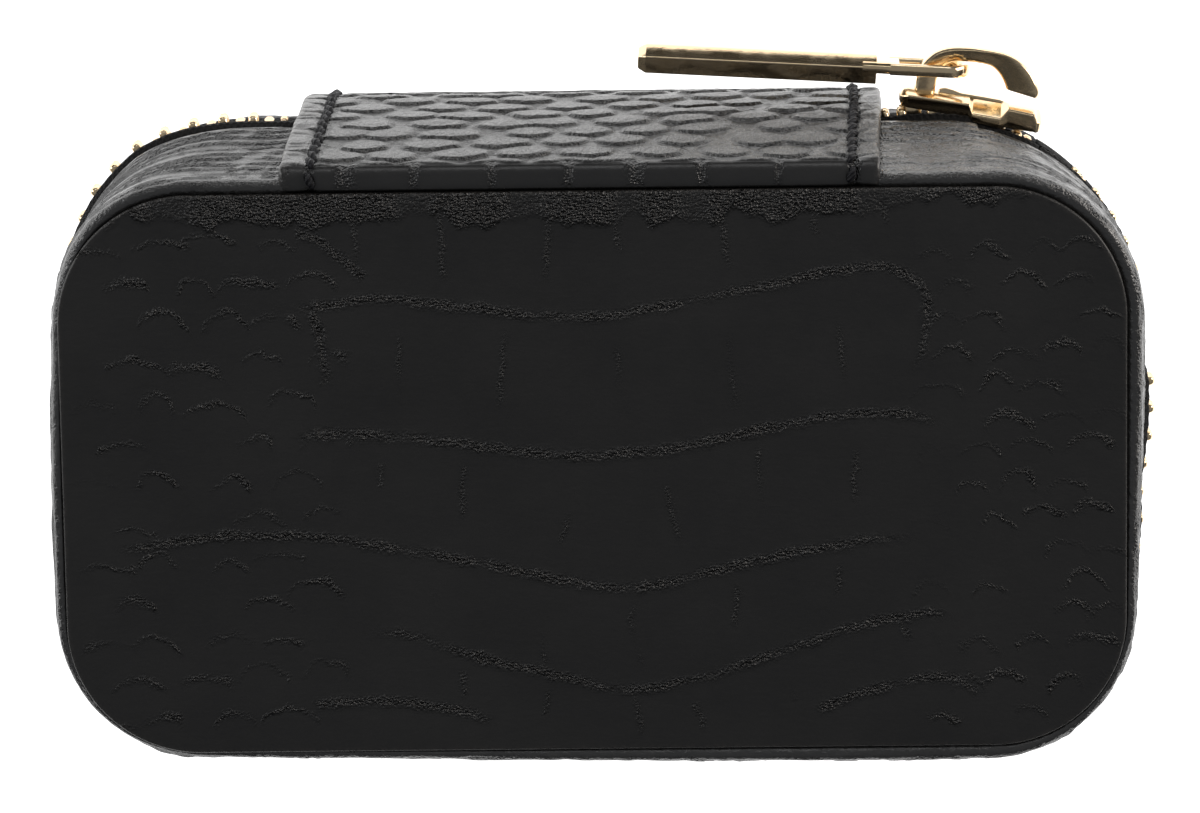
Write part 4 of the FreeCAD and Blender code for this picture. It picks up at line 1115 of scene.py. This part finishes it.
def slider_piece():
    """Slider: a chamfered block at the closed end, an undercut wing at the open end, and a plate inside the zip."""
    def wing(hw, vt):
        return [(0.0, vt), (0.9, vt), (hw, vt - 0.35), (hw + 0.04, vt - 0.5), (hw - 0.42, 1.0), (hw - 0.57, 0.95)]

    def block(hw, vt, low, ch=1.25):
        return [(0.0, vt), (0.5, vt), (hw - 0.08, vt - ch), (hw, vt - ch - 0.12), (hw, low), (hw - 0.75, low)]

    def steep(hw, vt, low):
        return [(0.0, vt), (0.9, vt), (hw - 0.2, vt - 0.16), (hw - 0.06, vt - 0.34), (hw - 0.3, low + 0.12), (hw - 0.6, low)]

    top = [
        (-7.1, [(0.0, 2.25), (0.7, 2.25), (1.7, 2.1), (1.75, 1.95), (1.6, 1.6), (1.5, 1.5)]),
        (-6.8, wing(2.25, 2.5)), (-6.3, wing(2.55, 2.66)), (-4.0, wing(2.7, 2.72)), (-1.2, wing(2.7, 2.74)), (-0.35, wing(2.72, 2.74)),
        (0.1, block(2.85, 2.8, 1.0)), (0.35, block(2.9, 2.82, 0.72)), (2.6, block(2.95, 2.8, 0.6)), (2.85, block(2.95, 2.78, 0.58)),
        (3.5, steep(2.95, 2.72, 0.56)), (3.6, steep(2.95, 2.72, 0.56)), (6.0, steep(2.9, 2.6, 0.56)), (6.1, steep(2.9, 2.6, 0.56)),
        (6.45, block(2.78, 2.5, 0.62, 0.75)), (6.7, block(2.65, 2.42, 0.7, 0.7)), (6.9, block(2.4, 2.2, 0.9, 0.5)),
    ]
    rings = []
    for u, half in top:
        sec = half + [(0.0, 1.42)] + [(-w, v) for w, v in half[::-1][:-1]]
        rings.append([straight(u, v, w) for w, v in sec])
    a = rings_object("slider_top", rings)
    low = [(-6.95, 2.4, -0.95), (-6.6, 3.2, -0.85), (-5.6, 3.85, -0.78), (-2.0, 4.1, -0.72), (1.0, 3.95, -0.6), (5.4, 3.75, -0.55), (6.4, 3.6, -0.58), (7.0, 2.8, -0.75)]
    rings = []
    for u, hw, vf in low:
        sec = [(-hw, vf), (-hw + 0.82, vf), (-hw + 0.86, -1.45), (hw - 0.86, -1.45), (hw - 0.82, vf), (hw, vf), (hw, -1.9), (hw - 0.45, -2.3), (-hw + 0.45, -2.3), (-hw, -1.9)]
        rings.append([bent(u, v, w) for w, v in sec])
    b = rings_object("slider_low", rings)
    rings = []
    for u, hw in ((-6.5, 0.12), (-6.2, 0.28), (-4.9, 0.28), (-4.5, 0.12)):
        rings.append([bent(u, v, w) for w, v in ((-hw, -1.5), (hw, -1.5), (hw, 1.9), (-hw, 1.9))])
    c = rings_object("slider_neck", rings)
    for ob in (a, b, c):
        apply_bevel(ob, 0.10 if ob is a else 0.14, 2, 20)
    return join("slider_body_gold", [a, b, c])


slider = finish_piece(slider_piece(), M_GOLD, "zip_slider", ("slider_body",))


def bail_piece():
    """Open hook cut from plate: a narrow leg inside the pull's eye, an arch, and a broad blunt end over the slider."""
    outer = [(-5.75, 2.45), (-5.72, 4.3), (-5.35, 5.35), (-4.45, 6.5), (-3.1, 7.2), (-1.4, 7.52), (0.3, 7.62), (1.9, 7.6), (3.1, 7.38), (4.15, 6.9), (5.2, 6.05), (5.95, 5.0), (6.3, 4.2), (6.15, 3.66)]
    inner = [(-3.75, 2.45), (-3.72, 4.2), (-3.5, 4.9), (-2.9, 5.6), (-2.1, 5.95), (-1.1, 6.08), (-0.35, 6.13), (0.5, 6.13), (1.3, 6.0), (2.05, 5.5), (2.55, 4.95), (2.85, 4.5), (3.0, 4.2), (3.1, 4.0)]
    o, _ = spline(outer, 0.05)
    i, _ = spline(inner, 0.05)
    n = 52
    o = o[np.linspace(0, len(o) - 1, n).round().astype(int)]
    i = i[np.linspace(0, len(i) - 1, n).round().astype(int)]
    rings = []
    for p, q in zip(i, o):
        d = q - p
        d = d / np.linalg.norm(d)
        k, w, wi = 0.24, 1.12, 0.70
        pts = [(p, -wi + k), (p + d * k, -wi), (q - d * k, -w), (q, -w + k), (q + d * 0.02, 0.0), (q, w - k), (q - d * k, w), (p + d * k, wi), (p, wi - k), (p - d * 0.02, 0.0)]
        rings.append([straight(c[0], c[1], ww) for c, ww in pts])
    ob = rings_object("slider_bail_gold", rings)
    apply_bevel(ob, 0.07, 2, 25)
    return ob


finish_piece(bail_piece(), M_GOLD, "zip_slider", ("slider_bail",))


def lock_piece():
    """Lock spring: a bent strip on the crown with a raised nub at the bail's leg."""
    sec = [(-3.5, 2.5), (-3.35, 3.05), (-2.8, 3.22), (-2.0, 3.12), (-1.2, 2.96), (1.2, 2.95), (2.6, 2.92), (3.1, 2.8), (3.3, 2.5)]
    rings = [[straight(u, v, w) for u, v in sec] for w in (-0.72, -0.55, 0.55, 0.72)]
    ob = rings_object("slider_lock_gold", rings)
    apply_bevel(ob, 0.09, 2, 25)
    return ob


finish_piece(lock_piece(), M_GOLD, "zip_slider", ("slider_lock",))

PULL_AXIS, PULL_TILT, REACH, EYE_S = np.array([36.2, 34.2, 19.4]), 3.5, 36.2 - 4.4, 0.36


def pull_point(a, s, z):
    """Point on the pull: a along it from the turning axis, s out, z across."""
    t = math.radians(-PULL_TILT)
    x, y = -a, s
    return PULL_AXIS[0] + x * math.cos(t) - y * math.sin(t), PULL_AXIS[1] + x * math.sin(t) + y * math.cos(t), PULL_AXIS[2] + z


def pull_piece():
    # deep bar with broad bevels, cut off square where the thinner eyelet starts
    bar = [(8.5, 1.0), (8.65, 1.0), (REACH - 0.8, 1.0), (REACH - 0.1, 0.74), (REACH, 0.6)]
    rings = []
    for a, k in bar:
        sec = [(-1.42, -0.6), (0.3, -1.8), (0.45, -1.8), (1.45, -0.72), (1.45, 0.72), (0.45, 1.8), (0.3, 1.8), (-1.42, 0.6)]
        rings.append([pull_point(a, sk * k, z * k) for sk, z in sec])
    shank = []
    for a, w, t in ((6.3, 2.0, 0.56), (7.6, 1.9, 0.56), (9.9, 1.8, 0.56)):
        sec = [(-t, -w + 0.3), (-t + 0.3, -w), (t - 0.3, -w), (t, -w + 0.3), (t, w - 0.3), (t - 0.3, w), (-t + 0.3, w), (-t, w - 0.3)]
        shank.append([pull_point(a, sk + EYE_S, z) for sk, z in sec])
    body = rings_object("pull_bar", rings)
    neck = rings_object("pull_neck", shank)
    # eyelet: a loop of rounded flat wire
    pts = []
    for a in np.linspace(7.2, 1.6, 10):
        pts.append((a, 1.78))
    for t in np.linspace(0, np.pi, 21)[1:-1]:
        pts.append((1.6 - 1.78 * math.sin(t), 1.78 * math.cos(t)))
    for a in np.linspace(1.6, 7.2, 10):
        pts.append((a, -1.78))
    c = np.array(pts)
    tg = np.gradient(c, axis=0)
    tg /= np.linalg.norm(tg, axis=1)[:, None]
    n = np.column_stack([-tg[:, 1], tg[:, 0]])
    rings = []
    for i in range(len(c)):
        sec = []
        for j in range(12):
            ph = 2 * math.pi * j / 12
            e = 0.62
            cs, sn = math.cos(ph), math.sin(ph)
            d = 0.42 * math.copysign(abs(cs) ** e, cs)
            h = 0.60 * math.copysign(abs(sn) ** e, sn)
            sec.append(pull_point(c[i, 0] + n[i, 0] * d, h + EYE_S, c[i, 1] + n[i, 1] * d))
        rings.append(sec)
    loop = rings_object("pull_eye", rings)
    apply_bevel(body, 0.09, 2, 20)
    apply_bevel(neck, 0.08, 2, 20)
    ob = join("pull_tab_gold", [body, neck, loop])
    sharp_by_angle(ob, 35)
    return ob


finish_piece(pull_piece(), M_GOLD, "zip_pull", ("pull_tab",))

# ------------------------------------------------------------------ linings
def notch_share(p):
    """1 where the rims drop away behind the slider, at the back right corner."""
    x, y = p[:, 0], p[:, 1]
    ang = np.degrees(np.arctan2(np.maximum(x - CX, 0.0), np.maximum(y - CY, 1e-6)))
    return smooth01((x - 24.2) / 1.1) * smooth01((39.0 - ang) / 2.8) * (y > CY - 2.0)


def wall_lining(name, at, z_rim, z_far, down, seed):
    """Suede glued round the inside of one half, turned over its rim and down behind the tape. down is -1 for the base, 1 for the lid."""
    counts = (44, 40, 120)
    H = abs(z_far - z_rim)
    rows = [(4.55, h, 1.0) for h in np.linspace(H, 0.75, 26)]
    rows += [(4.5, 0.44, 0.8), (4.38, 0.21, 0.6), (4.12, 0.06, 0.5), (3.6, 0.0, 0.4), (3.12, 0.02, 0.4), (2.88, 0.15, 0.3), (2.79, 0.45, 0.2)]
    rows += [(2.77, 1.6, 0.2), (2.77, 2.9, 0.2), (2.79, 4.1, 0.1), (2.87, 4.3, 0.0)]
    rows += [(2.96, 4.1, 0.0), (2.965, 2.5, 0.0), (2.97, 0.5, 0.0), (3.0, 0.17, 0.0), (3.15, 0.14, 0.0), (3.6, 0.14, 0.0), (3.82, 0.15, 0.0), (3.92, 0.4, 0.0), (3.93, H * 0.5, 0.0), (3.93, H, 0.0)]
    p0, n0 = outline(off(at(z_rim), 4.0), *counts)
    u = arc_length(p0)
    length = u[-1] + np.linalg.norm(p0[0] - p0[-1])
    ang = 2 * np.pi * u / length
    cx, cy = length / (2 * np.pi) * np.cos(ang), length / (2 * np.pi) * np.sin(ang)
    corner = np.abs(n0[:, 0] * n0[:, 1]) * 2
    k = notch_share(p0)
    drop = 6.15
    P, G = [], []
    for d, h, soft in rows:
        hh = drop * k + h * (1 - k * drop / H)
        dd = np.where(d < 3.93, d * (1 - k) + (3.93 + (d - 2.77) * 0.1) * k, d)
        far = (h / H) ** 1.5
        pleat = 0.15 * corner * np.sin(2 * np.pi * u * round(length / 1.9) / length + 2.0 * vnoise(cx * 0.4, cy * 0.4, seed)) * (0.25 + 0.75 * far)
        wave = 0.30 * (vnoise(cx * 0.16 + 40, cy * 0.16 + 40 + h * 0.14, seed + 1) - 0.5) + 0.14 * (vnoise(cx * 0.5 + 40, cy * 0.5 + 40 + h * 0.3, seed + 2) - 0.5)
        dd = dd - soft * (pleat + wave + 0.06) * smooth01((d - 3.4) / 0.8) - 0.03 * soft * np.sin(u * 3.1)
        q = np.empty_like(p0)
        for z in (None,):
            zz = z_rim + down * hh
        a0 = [off(at(z_rim + down * t), 0.0) for t in (h, drop + h * (1 - drop / H))]
        qa, na = outline(off(a0[0], d), *counts)
        qb, nb = outline(off(a0[1], d), *counts)
        q = qa * (1 - k)[:, None] + qb * k[:, None] - na * (dd - d)[:, None]
        P.append(np.column_stack([q, zz]))
        # painted shade in the hollow side of the corner pleats
        G.append(np.clip(0.5 * soft * corner * far * (pleat < 0), 0, 1))
    ob = new_object(name, np.concatenate(P), grid_faces(len(rows), len(u), True, True), (), {"groove_shade": np.concatenate(G)})
    return clean(ob, 0.0, True)


finish_piece(wall_lining("base_wall_lining_suede", base_at, Z_ZIP - 0.13, Z_PAD + 0.06, -1, 501), M_SUEDE, "base", ("base_wall_lining",))
finish_piece(wall_lining("lid_wall_lining_suede", lid_at, Z_ZIP + 0.13, Z_CEIL - 1.06, 1, 531), M_SUEDE, "lid", ("lid_wall_lining",))


def pad_emboss(seed, o):
    def emboss(x, y):
        edge = np.minimum(o[0] - np.abs(x), o[1] - np.abs(y))
        h = -0.16 * (1 - smooth01(edge / 3.5)) + 0.14 * (fbm(x * 0.09, y * 0.09, seed) - 0.5) - 0.05
        h += -0.07 * np.exp(-((edge - 1.3) / 0.4) ** 2)
        # the second value paints shade along the dip near the edge
        return np.minimum(h, 0.0), np.exp(-((edge - 1.3) / 0.5) ** 2) * 0.6
    return emboss


FLOOR_O, CEIL_O = off(base_at(Z_FLOOR), 3.95), off(lid_at(Z_CEIL), 3.95)
finish_piece(panel("base_floor_lining_suede", FLOOR_O, Z_PAD, Z_FLOOR + 0.03, 0.35, 1, (36, 26, 90), 26, pad_emboss(551, FLOOR_O)), M_SUEDE, "base", ("base_floor_lining",))
ceiling = panel("lid_ceiling_lining_suede", CEIL_O, Z_CEIL - 1.0, Z_CEIL - 0.03, 0.4, -1, (36, 26, 90), 26, pad_emboss(571, CEIL_O))
finish_piece(ceiling, M_SUEDE, "lid", ("lid_ceiling_lining",))


def divider(name, centre, start, end, swap, seed):
    """Board wrapped in suede: soft sides, rounded top with a stitched line on each side."""
    z0, z1, t = Z_PAD + 0.03, 16.7, 0.99
    half = [(t, z) for z in np.linspace(z0, z1 - 1.0, 14)] + [(t * math.cos(a), z1 - 1.0 + 0.98 * math.sin(a)) for a in np.linspace(0, np.pi / 2, 7)[1:]]
    prof = [(-a, z) for a, z in half] + half[::-1][1:]
    rings, G = [], []
    for f in np.linspace(0, 1, 66):
        ring = []
        for a, z in prof:
            lo, hi = start(z), end(z)
            s = lo + (hi - lo) * f
            soft = math.sin(math.pi * min(1.0, max(0.0, (z - z0) / (z1 - z0)))) * math.sin(math.pi * min(1.0, max(0.0, f * 12 if f < 0.5 else (1 - f) * 12) / 2) if (f < 1 / 6 or f > 5 / 6) else math.pi / 2)
            side = 1 if a > 0 else -1
            seam = math.exp(-((z - (z1 - 1.9)) / 0.22) ** 2)
            bulge = side * (0.10 * soft + 0.12 * (float(vnoise(s * 0.25 + 9 * side, z * 0.22, seed)) - 0.5) * soft - 0.10 * seam * (abs(a) > 0.9))
            dip = -0.22 * math.sin(math.pi * f) * max(0.0, (z - z1 + 3.0) / 3.0) + 0.08 * (float(vnoise(s * 0.4, 3.0, seed + 1)) - 0.5) * max(0.0, (z - z1 + 1.5) / 1.5)
            c = centre + a + bulge
            ring.append((s, c, z + dip) if swap else (c, s, z + dip))
            # painted shade along the dent of the stitched seam
            G.append(seam * (abs(a) > 0.9) * 0.9)
        rings.append(ring)
    return rings_object(name, rings, True, {"groove_shade": np.array(G)})


finish_piece(divider("divider_long_suede", -1.5, lambda z: -(base_at(z)[1] - 4.66), lambda z: base_at(z)[1] - 4.66, False, 601), M_SUEDE, "base", ("divider_long",))
finish_piece(divider("divider_cross_suede", 4.6, lambda z: -0.44, lambda z: base_at(z)[0] - 4.66, True, 611), M_SUEDE, "base", ("divider_cross",))


# ------------------------------------------------------------------ ring rolls: velvet over foam, puffed in a cloth pass
ROLL_X0, ROLL_X1, ROLL_HW, ROLL_TOP = -40.3, -3.6, 4.8, Z_PAD + 12.2
ROLL_Y = [-15.3 + 10.2 * i for i in range(4)]
BIG = 20.0              # the cloth pass runs on an enlarged copy


def roll_cage():
    V, F = [], []
    for yc in ROLL_Y:
        prof = [(-4.3, Z_PAD + 0.02), (0.0, Z_PAD + 0.02), (4.3, Z_PAD + 0.02), (4.75, Z_PAD + 0.5)] + [(4.75, z) for z in (6.5, 9.0, 11.3)]
        prof += [(4.75 * math.cos(a), 11.5 + 4.72 * math.sin(a)) for a in np.linspace(0.12, np.pi - 0.12, 15)]
        prof += [(-4.75, z) for z in (11.3, 9.0, 6.5)] + [(-4.75, Z_PAD + 0.5)]
        start, m = len(V), len(prof)
        xs = [ROLL_X0 + 0.15, ROLL_X0 + 0.55] + list(np.linspace(ROLL_X0 + 1.2, ROLL_X1 - 1.2, 24)) + [ROLL_X1 - 0.55, ROLL_X1 - 0.15]
        for x in xs:
            e = min(x - ROLL_X0, ROLL_X1 - x)
            k = 1 - 0.06 * max(0.0, 1 - e / 1.1) ** 2
            V += [(x, yc + a * k, Z_PAD + (z - Z_PAD) * k) for a, z in prof]
        F += grid_faces(len(xs), m, wrap_cols=True, start=start).tolist()
        F += [list(range(start, start + m))[::-1], list(range(start + (len(xs) - 1) * m, start + len(xs) * m))]
    ob = new_object("ring_rolls_velvet", np.array(V) * BIG, np.zeros((0, 4), int), F)
    return clean(ob, 0.0, True)


def applied(ob):
    dg = bpy.context.evaluated_depsgraph_get()
    me = bpy.data.meshes.new_from_object(ob.evaluated_get(dg))
    ob.modifiers.clear()
    old = ob.data
    ob.data = me
    bpy.data.meshes.remove(old)
    return ob


def points_of(me):
    a = np.empty(len(me.vertices) * 3)
    me.vertices.foreach_get("co", a)
    return a.reshape(-1, 3)


def ring_roll_piece():
    ob = roll_cage()
    m = ob.modifiers.new("remesh", "REMESH")
    m.mode, m.voxel_size = "VOXEL", 0.78 * MM * BIG
    applied(ob)
    rest = points_of(ob.data)
    mm = rest / (MM * BIG)
    end = np.minimum(mm[:, 0] - ROLL_X0, ROLL_X1 - mm[:, 0])
    held = ob.vertex_groups.new(name="held")
    for i in np.nonzero((mm[:, 2] < Z_PAD + 0.9) | ((end > 0.25) & (end < 0.75)))[0]:
        held.add([int(i)], 1.0, "REPLACE")
    c = ob.modifiers.new("cloth", "CLOTH")
    st = c.settings
    st.quality = 6
    st.mass = 0.3
    st.tension_stiffness = st.compression_stiffness = 12.0
    st.shear_stiffness = 4.0
    st.bending_stiffness = 0.4
    st.use_pressure = True
    st.uniform_pressure_force = 4.0
    st.shrink_min = -0.07
    st.vertex_group_mass = "held"
    st.effector_weights.gravity = 0.0
    c.point_cache.frame_start, c.point_cache.frame_end = 1, 20
    sc = bpy.context.scene
    for f in range(1, 21):
        sc.frame_set(f)
    ev = ob.evaluated_get(bpy.context.evaluated_depsgraph_get())
    moved = points_of(ev.data)
    ob.modifiers.clear()
    ob.vertex_groups.clear()
    sc.frame_set(1)
    step = (moved - rest) / (MM * BIG)
    # keep the puffing within what the neighbours and the lid leave free
    size = np.linalg.norm(step, axis=1, keepdims=True)
    step = step * np.minimum(1.0, 0.55 / np.maximum(size, 1e-9))
    yc = np.array(ROLL_Y)[np.argmin(np.abs(mm[:, 1:2] - np.array(ROLL_Y)[None, :]), axis=1)]
    new = mm + step
    new[:, 1] = yc + np.clip(new[:, 1] - yc, -5.05, 5.05)
    new[:, 2] = np.maximum(new[:, 2], Z_PAD + 0.01)
    # a pinched seam near each end and a slack middle
    pinch = np.exp(-((end - 0.9) / 0.45) ** 2)
    out = np.column_stack([np.zeros(len(mm)), mm[:, 1] - yc, np.maximum(mm[:, 2] - 11.3, 0.0)])
    out /= np.maximum(np.linalg.norm(out, axis=1, keepdims=True), 1e-6)
    ring = np.arctan2(mm[:, 2] - 11.3, mm[:, 1] - yc)
    new -= out * (0.24 * pinch * (0.7 + 0.5 * np.sin(ring * 17 + yc * 3)))[:, None] * (mm[:, 2] > Z_PAD + 1.0)[:, None]
    new += out * (0.20 * (vnoise(mm[:, 0] * 0.16 + yc, ring * 1.3 + yc, 641) - 0.5) + 0.10 * (vnoise(mm[:, 0] * 0.5 + yc, ring * 3.0 + yc, 643) - 0.5))[:, None]
    ob.data.vertices.foreach_set("co", (new * MM).ravel())
    # painted shade in the pinched seams near the ends
    ob.data.attributes.new("groove_shade", "FLOAT", "POINT").data.foreach_set("value", (0.8 * pinch).astype(np.float32))
    ob.data.update()
    s = ob.modifiers.new("sub", "SUBSURF")
    s.levels = s.render_levels = 1
    applied(ob)
    ob.data.polygons.foreach_set("use_smooth", np.ones(len(ob.data.polygons), bool))
    return ob


rolls = finish_piece(ring_roll_piece(), M_VELVET, "base", ("ring_rolls",))


# ------------------------------------------------------------------ lid pocket: one gathered sheet with a ruffled elastic hem
POCKET_X, POCKET_Y0, POCKET_Y1, Z_CLOTH = 37.0, -8.0, 19.5, Z_CEIL - 1.0


def gather(a, grow):
    """Height and sideways shift of the gathers at a (-1 to 1 across), growing towards the hem."""
    ph = 2 * np.pi * (11.5 * a + 0.35 * np.sin(5.1 * a + 1.0) + 0.22 * np.sin(12.7 * a))
    h = np.sin(ph) * (0.75 + 0.45 * np.sin(7.3 * a + 2.0)) + 0.35 * np.sin(2 * ph + 1.3)
    return h * grow, np.cos(ph) * grow


def pocket_surface(a, b):
    """Point of the pocket cloth. b runs from the sewn edge, 0, to the hem, 1."""
    grow = 0.5 + 0.25 * b
    side = 1 - np.abs(a) ** 7
    lead = smooth01(b / 0.16)
    h, sway = gather(a, grow)
    fold = 0.22 * (fbm(a * 6 + 3, b * 3, 661) - 0.5) * lead
    depth = 2.9 * side * lead + (h * 1.1 + fold) * side * lead
    x = a * POCKET_X * (1 - 0.012 * (1 - np.abs(a)) * b) + 0.28 * sway * side
    y = POCKET_Y1 + (POCKET_Y0 - 0.4 - POCKET_Y1) * b
    return np.stack([x, y + 0 * a, Z_CLOTH - 0.3 - depth], -1)


def thick_sheet(name, P, t):
    """Closed thin sheet round a grid of points."""
    R, C, _ = P.shape
    du, dv = np.gradient(P, axis=1), np.gradient(P, axis=0)
    n = np.cross(du, dv)
    n /= np.linalg.norm(n, axis=2, keepdims=True)
    A, B = P + n * t / 2, P - n * t / 2
    V = np.concatenate([A.reshape(-1, 3), B.reshape(-1, 3)])
    f = grid_faces(R, C)
    g = grid_faces(R, C, start=R * C)[:, ::-1]
    rim = [r * C for r in range(R)][::-1] + [c for c in range(1, C)] + [r * C + C - 1 for r in range(1, R)] + [(R - 1) * C + c for c in range(C - 2, 0, -1)]
    rim = np.array(rim)
    nxt = np.roll(rim, -1)
    e = np.stack([rim, nxt, nxt + R * C, rim + R * C], 1)
    return clean(new_object(name, V, np.concatenate([f, g, e])), 0.0, True)


def pocket_pieces():
    a, b = np.meshgrid(np.linspace(-1, 1, 420), np.linspace(0, 1, 52))
    P = pocket_surface(a, b)
    cloth = thick_sheet("lid_pocket_cloth", P, 0.3)
    # hem: a channel round the elastic, puckered across
    aa = np.linspace(-1, 1, 420)
    line = pocket_surface(aa, np.ones_like(aa))
    h, sway = gather(aa, 0.72)
    side = 1 - np.abs(aa) ** 7
    rings = []
    for i in range(len(aa)):
        ring = []
        for j in range(16):
            ph = 2 * math.pi * j / 16
            cs, sn = math.cos(ph), math.sin(ph)
            wy = 1.55 * math.copysign(abs(cs) ** 0.75, cs) + 0.16 * h[i] * side[i]
            wz = 0.52 * math.copysign(abs(sn) ** 0.8, sn) * (1 + 0.12 * sway[i])
            ruff = 0.34 * h[i] * side[i] * (0.55 - 0.45 * cs)
            ring.append((line[i, 0], POCKET_Y0 - 1.55 + wy * (0.55 + 0.45 * side[i] ** 0.3), line[i, 2] + 0.05 - ruff * 0.8 + wz))
        rings.append(ring)
    hem = rings_object("lid_pocket_hem", rings)
    return cloth, hem


pocket, hem = pocket_pieces()
finish_piece(hem, M_SATIN, "lid", ("lid_pocket_elastic",))
finish_piece(pocket, M_SATIN, "lid", ("lid_pocket",))


# ------------------------------------------------------------------ lining strip over the inside of the hinge
def hinge_strip():
    zs = np.linspace(17.05, 22.95, 25)
    xs = np.linspace(-27.0, 24.8, 150)
    X, Z = np.meshgrid(xs, zs)
    f = (Z - 17.05) / 5.9
    end = smooth01((np.minimum(X + 27.0, 24.8 - X)) / 2.5)
    Y = 24.52 - np.sin(np.pi * f) ** 1.3 * (0.85 + 0.35 * np.sin(X * 0.9 + 0.8 * np.sin(X * 0.23)) * end + 0.25 * (vnoise(X * 0.6, Z * 0.5, 681) - 0.5)) * (0.35 + 0.65 * end)
    return thick_sheet("hinge_lining_suede", np.stack([X, Y, Z], -1), 0.4)


strip = finish_piece(hinge_strip(), M_SUEDE, None, ("hinge_lining",))
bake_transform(strip)

# ------------------------------------------------------------------ finish of the CAD pieces that stay
M_COVER = suede_material("rim_cover", (0.38, 0.32, 0.255), (0.53, 0.46, 0.38), 0.8, 0.25)
for name, mat in (("base_core", M_COVER), ("lid_core", M_COVER), ("base_panel_board", M_BOARD), ("lid_panel_board", M_BOARD)):
    NODES[name].data.materials.clear()
    NODES[name].data.materials.append(mat)

# ------------------------------------------------------------------ floor, light, camera
def floor_piece():
    me = bpy.data.meshes.new("floor")
    s = 3.0
    me.from_pydata([(-s, -s, -0.00005), (s, -s, -0.00005), (s, s, -0.00005), (-s, s, -0.00005)], [], [(0, 1, 2, 3)])
    ob = bpy.data.objects.new("floor", me)
    bpy.context.scene.collection.objects.link(ob)
    g = Graph("floor_white")
    n = g.noise(g.coords((4, 4, 4)), 1.0, 2.0)
    g.set(Base_Color=g.color(n, (0.86, 0.86, 0.86), (0.9, 0.9, 0.9)), Roughness=0.8, Emission_Color=(1, 1, 1, 1), Emission_Strength=1.3)
    me.materials.append(g.mat)
    return ob


floor_piece()
scene = bpy.context.scene
scene.view_settings.view_transform = "Standard"
scene.view_settings.look = "None"
world = bpy.data.worlds.new("studio")
world.use_nodes = True
bg = world.node_tree.nodes["Background"]
bg.inputs[0].default_value = (0.95, 0.97, 1.0, 1.0)
# dim at the horizon, brighter overhead
wt = world.node_tree
tc = wt.nodes.new("ShaderNodeTexCoord")
xyz = wt.nodes.new("ShaderNodeSeparateXYZ")
lift = wt.nodes.new("ShaderNodeMapRange")
lift.interpolation_type = "SMOOTHSTEP"
lift.inputs["From Min"].default_value, lift.inputs["From Max"].default_value = 0.15, 0.9
lift.inputs["To Min"].default_value, lift.inputs["To Max"].default_value = 0.04, 0.25
wt.links.new(tc.outputs["Generated"], xyz.inputs[0])
wt.links.new(xyz.outputs["Z"], lift.inputs["Value"])
wt.links.new(lift.outputs[0], bg.inputs[1])
scene.world = world


def softbox(name, pos, target, size, size_y, power, color=(1, 1, 1)):
    li = bpy.data.lights.new(name, "AREA")
    li.shape = "RECTANGLE"
    li.size, li.size_y = size, size_y
    li.energy = power
    li.color = color
    ob = bpy.data.objects.new(name, li)
    bpy.context.scene.collection.objects.link(ob)
    ob.location = pos
    ob.rotation_euler = (Vector(target) - Vector(pos)).to_track_quat("-Z", "Y").to_euler()
    return ob


softbox("back_softbox", (0.0, 0.52, 0.52), (0, 0.02, 0.02), 0.5, 0.12, 0.4)
softbox("left_softbox", (-0.62, 0.20, 0.30), (0, 0, 0.02), 0.25, 0.5, 1.5)
softbox("right_softbox", (0.64, 0.26, 0.26), (0, 0, 0.02), 0.25, 0.45, 2.6, (1.0, 0.94, 0.88))

cam_data = bpy.data.cameras.new("camera")
cam_data.sensor_fit = "HORIZONTAL"
cam_data.sensor_width = 36.0
cam_data.lens = 7315.2 * 36.0 / 1200.0
cam_data.clip_start, cam_data.clip_end = 0.01, 20.0
cam = bpy.data.objects.new("camera", cam_data)
scene.collection.objects.link(cam)
view = Matrix(((0.99977, -0.014815, -0.015487), (0.010823, 0.972704, -0.231796), (0.018499, 0.231576, 0.972641)))
place = view.transposed().to_4x4()
place.translation = Vector((13.61, 168.315, 721.554)) * MM
cam.matrix_world = place
scene.camera = cam
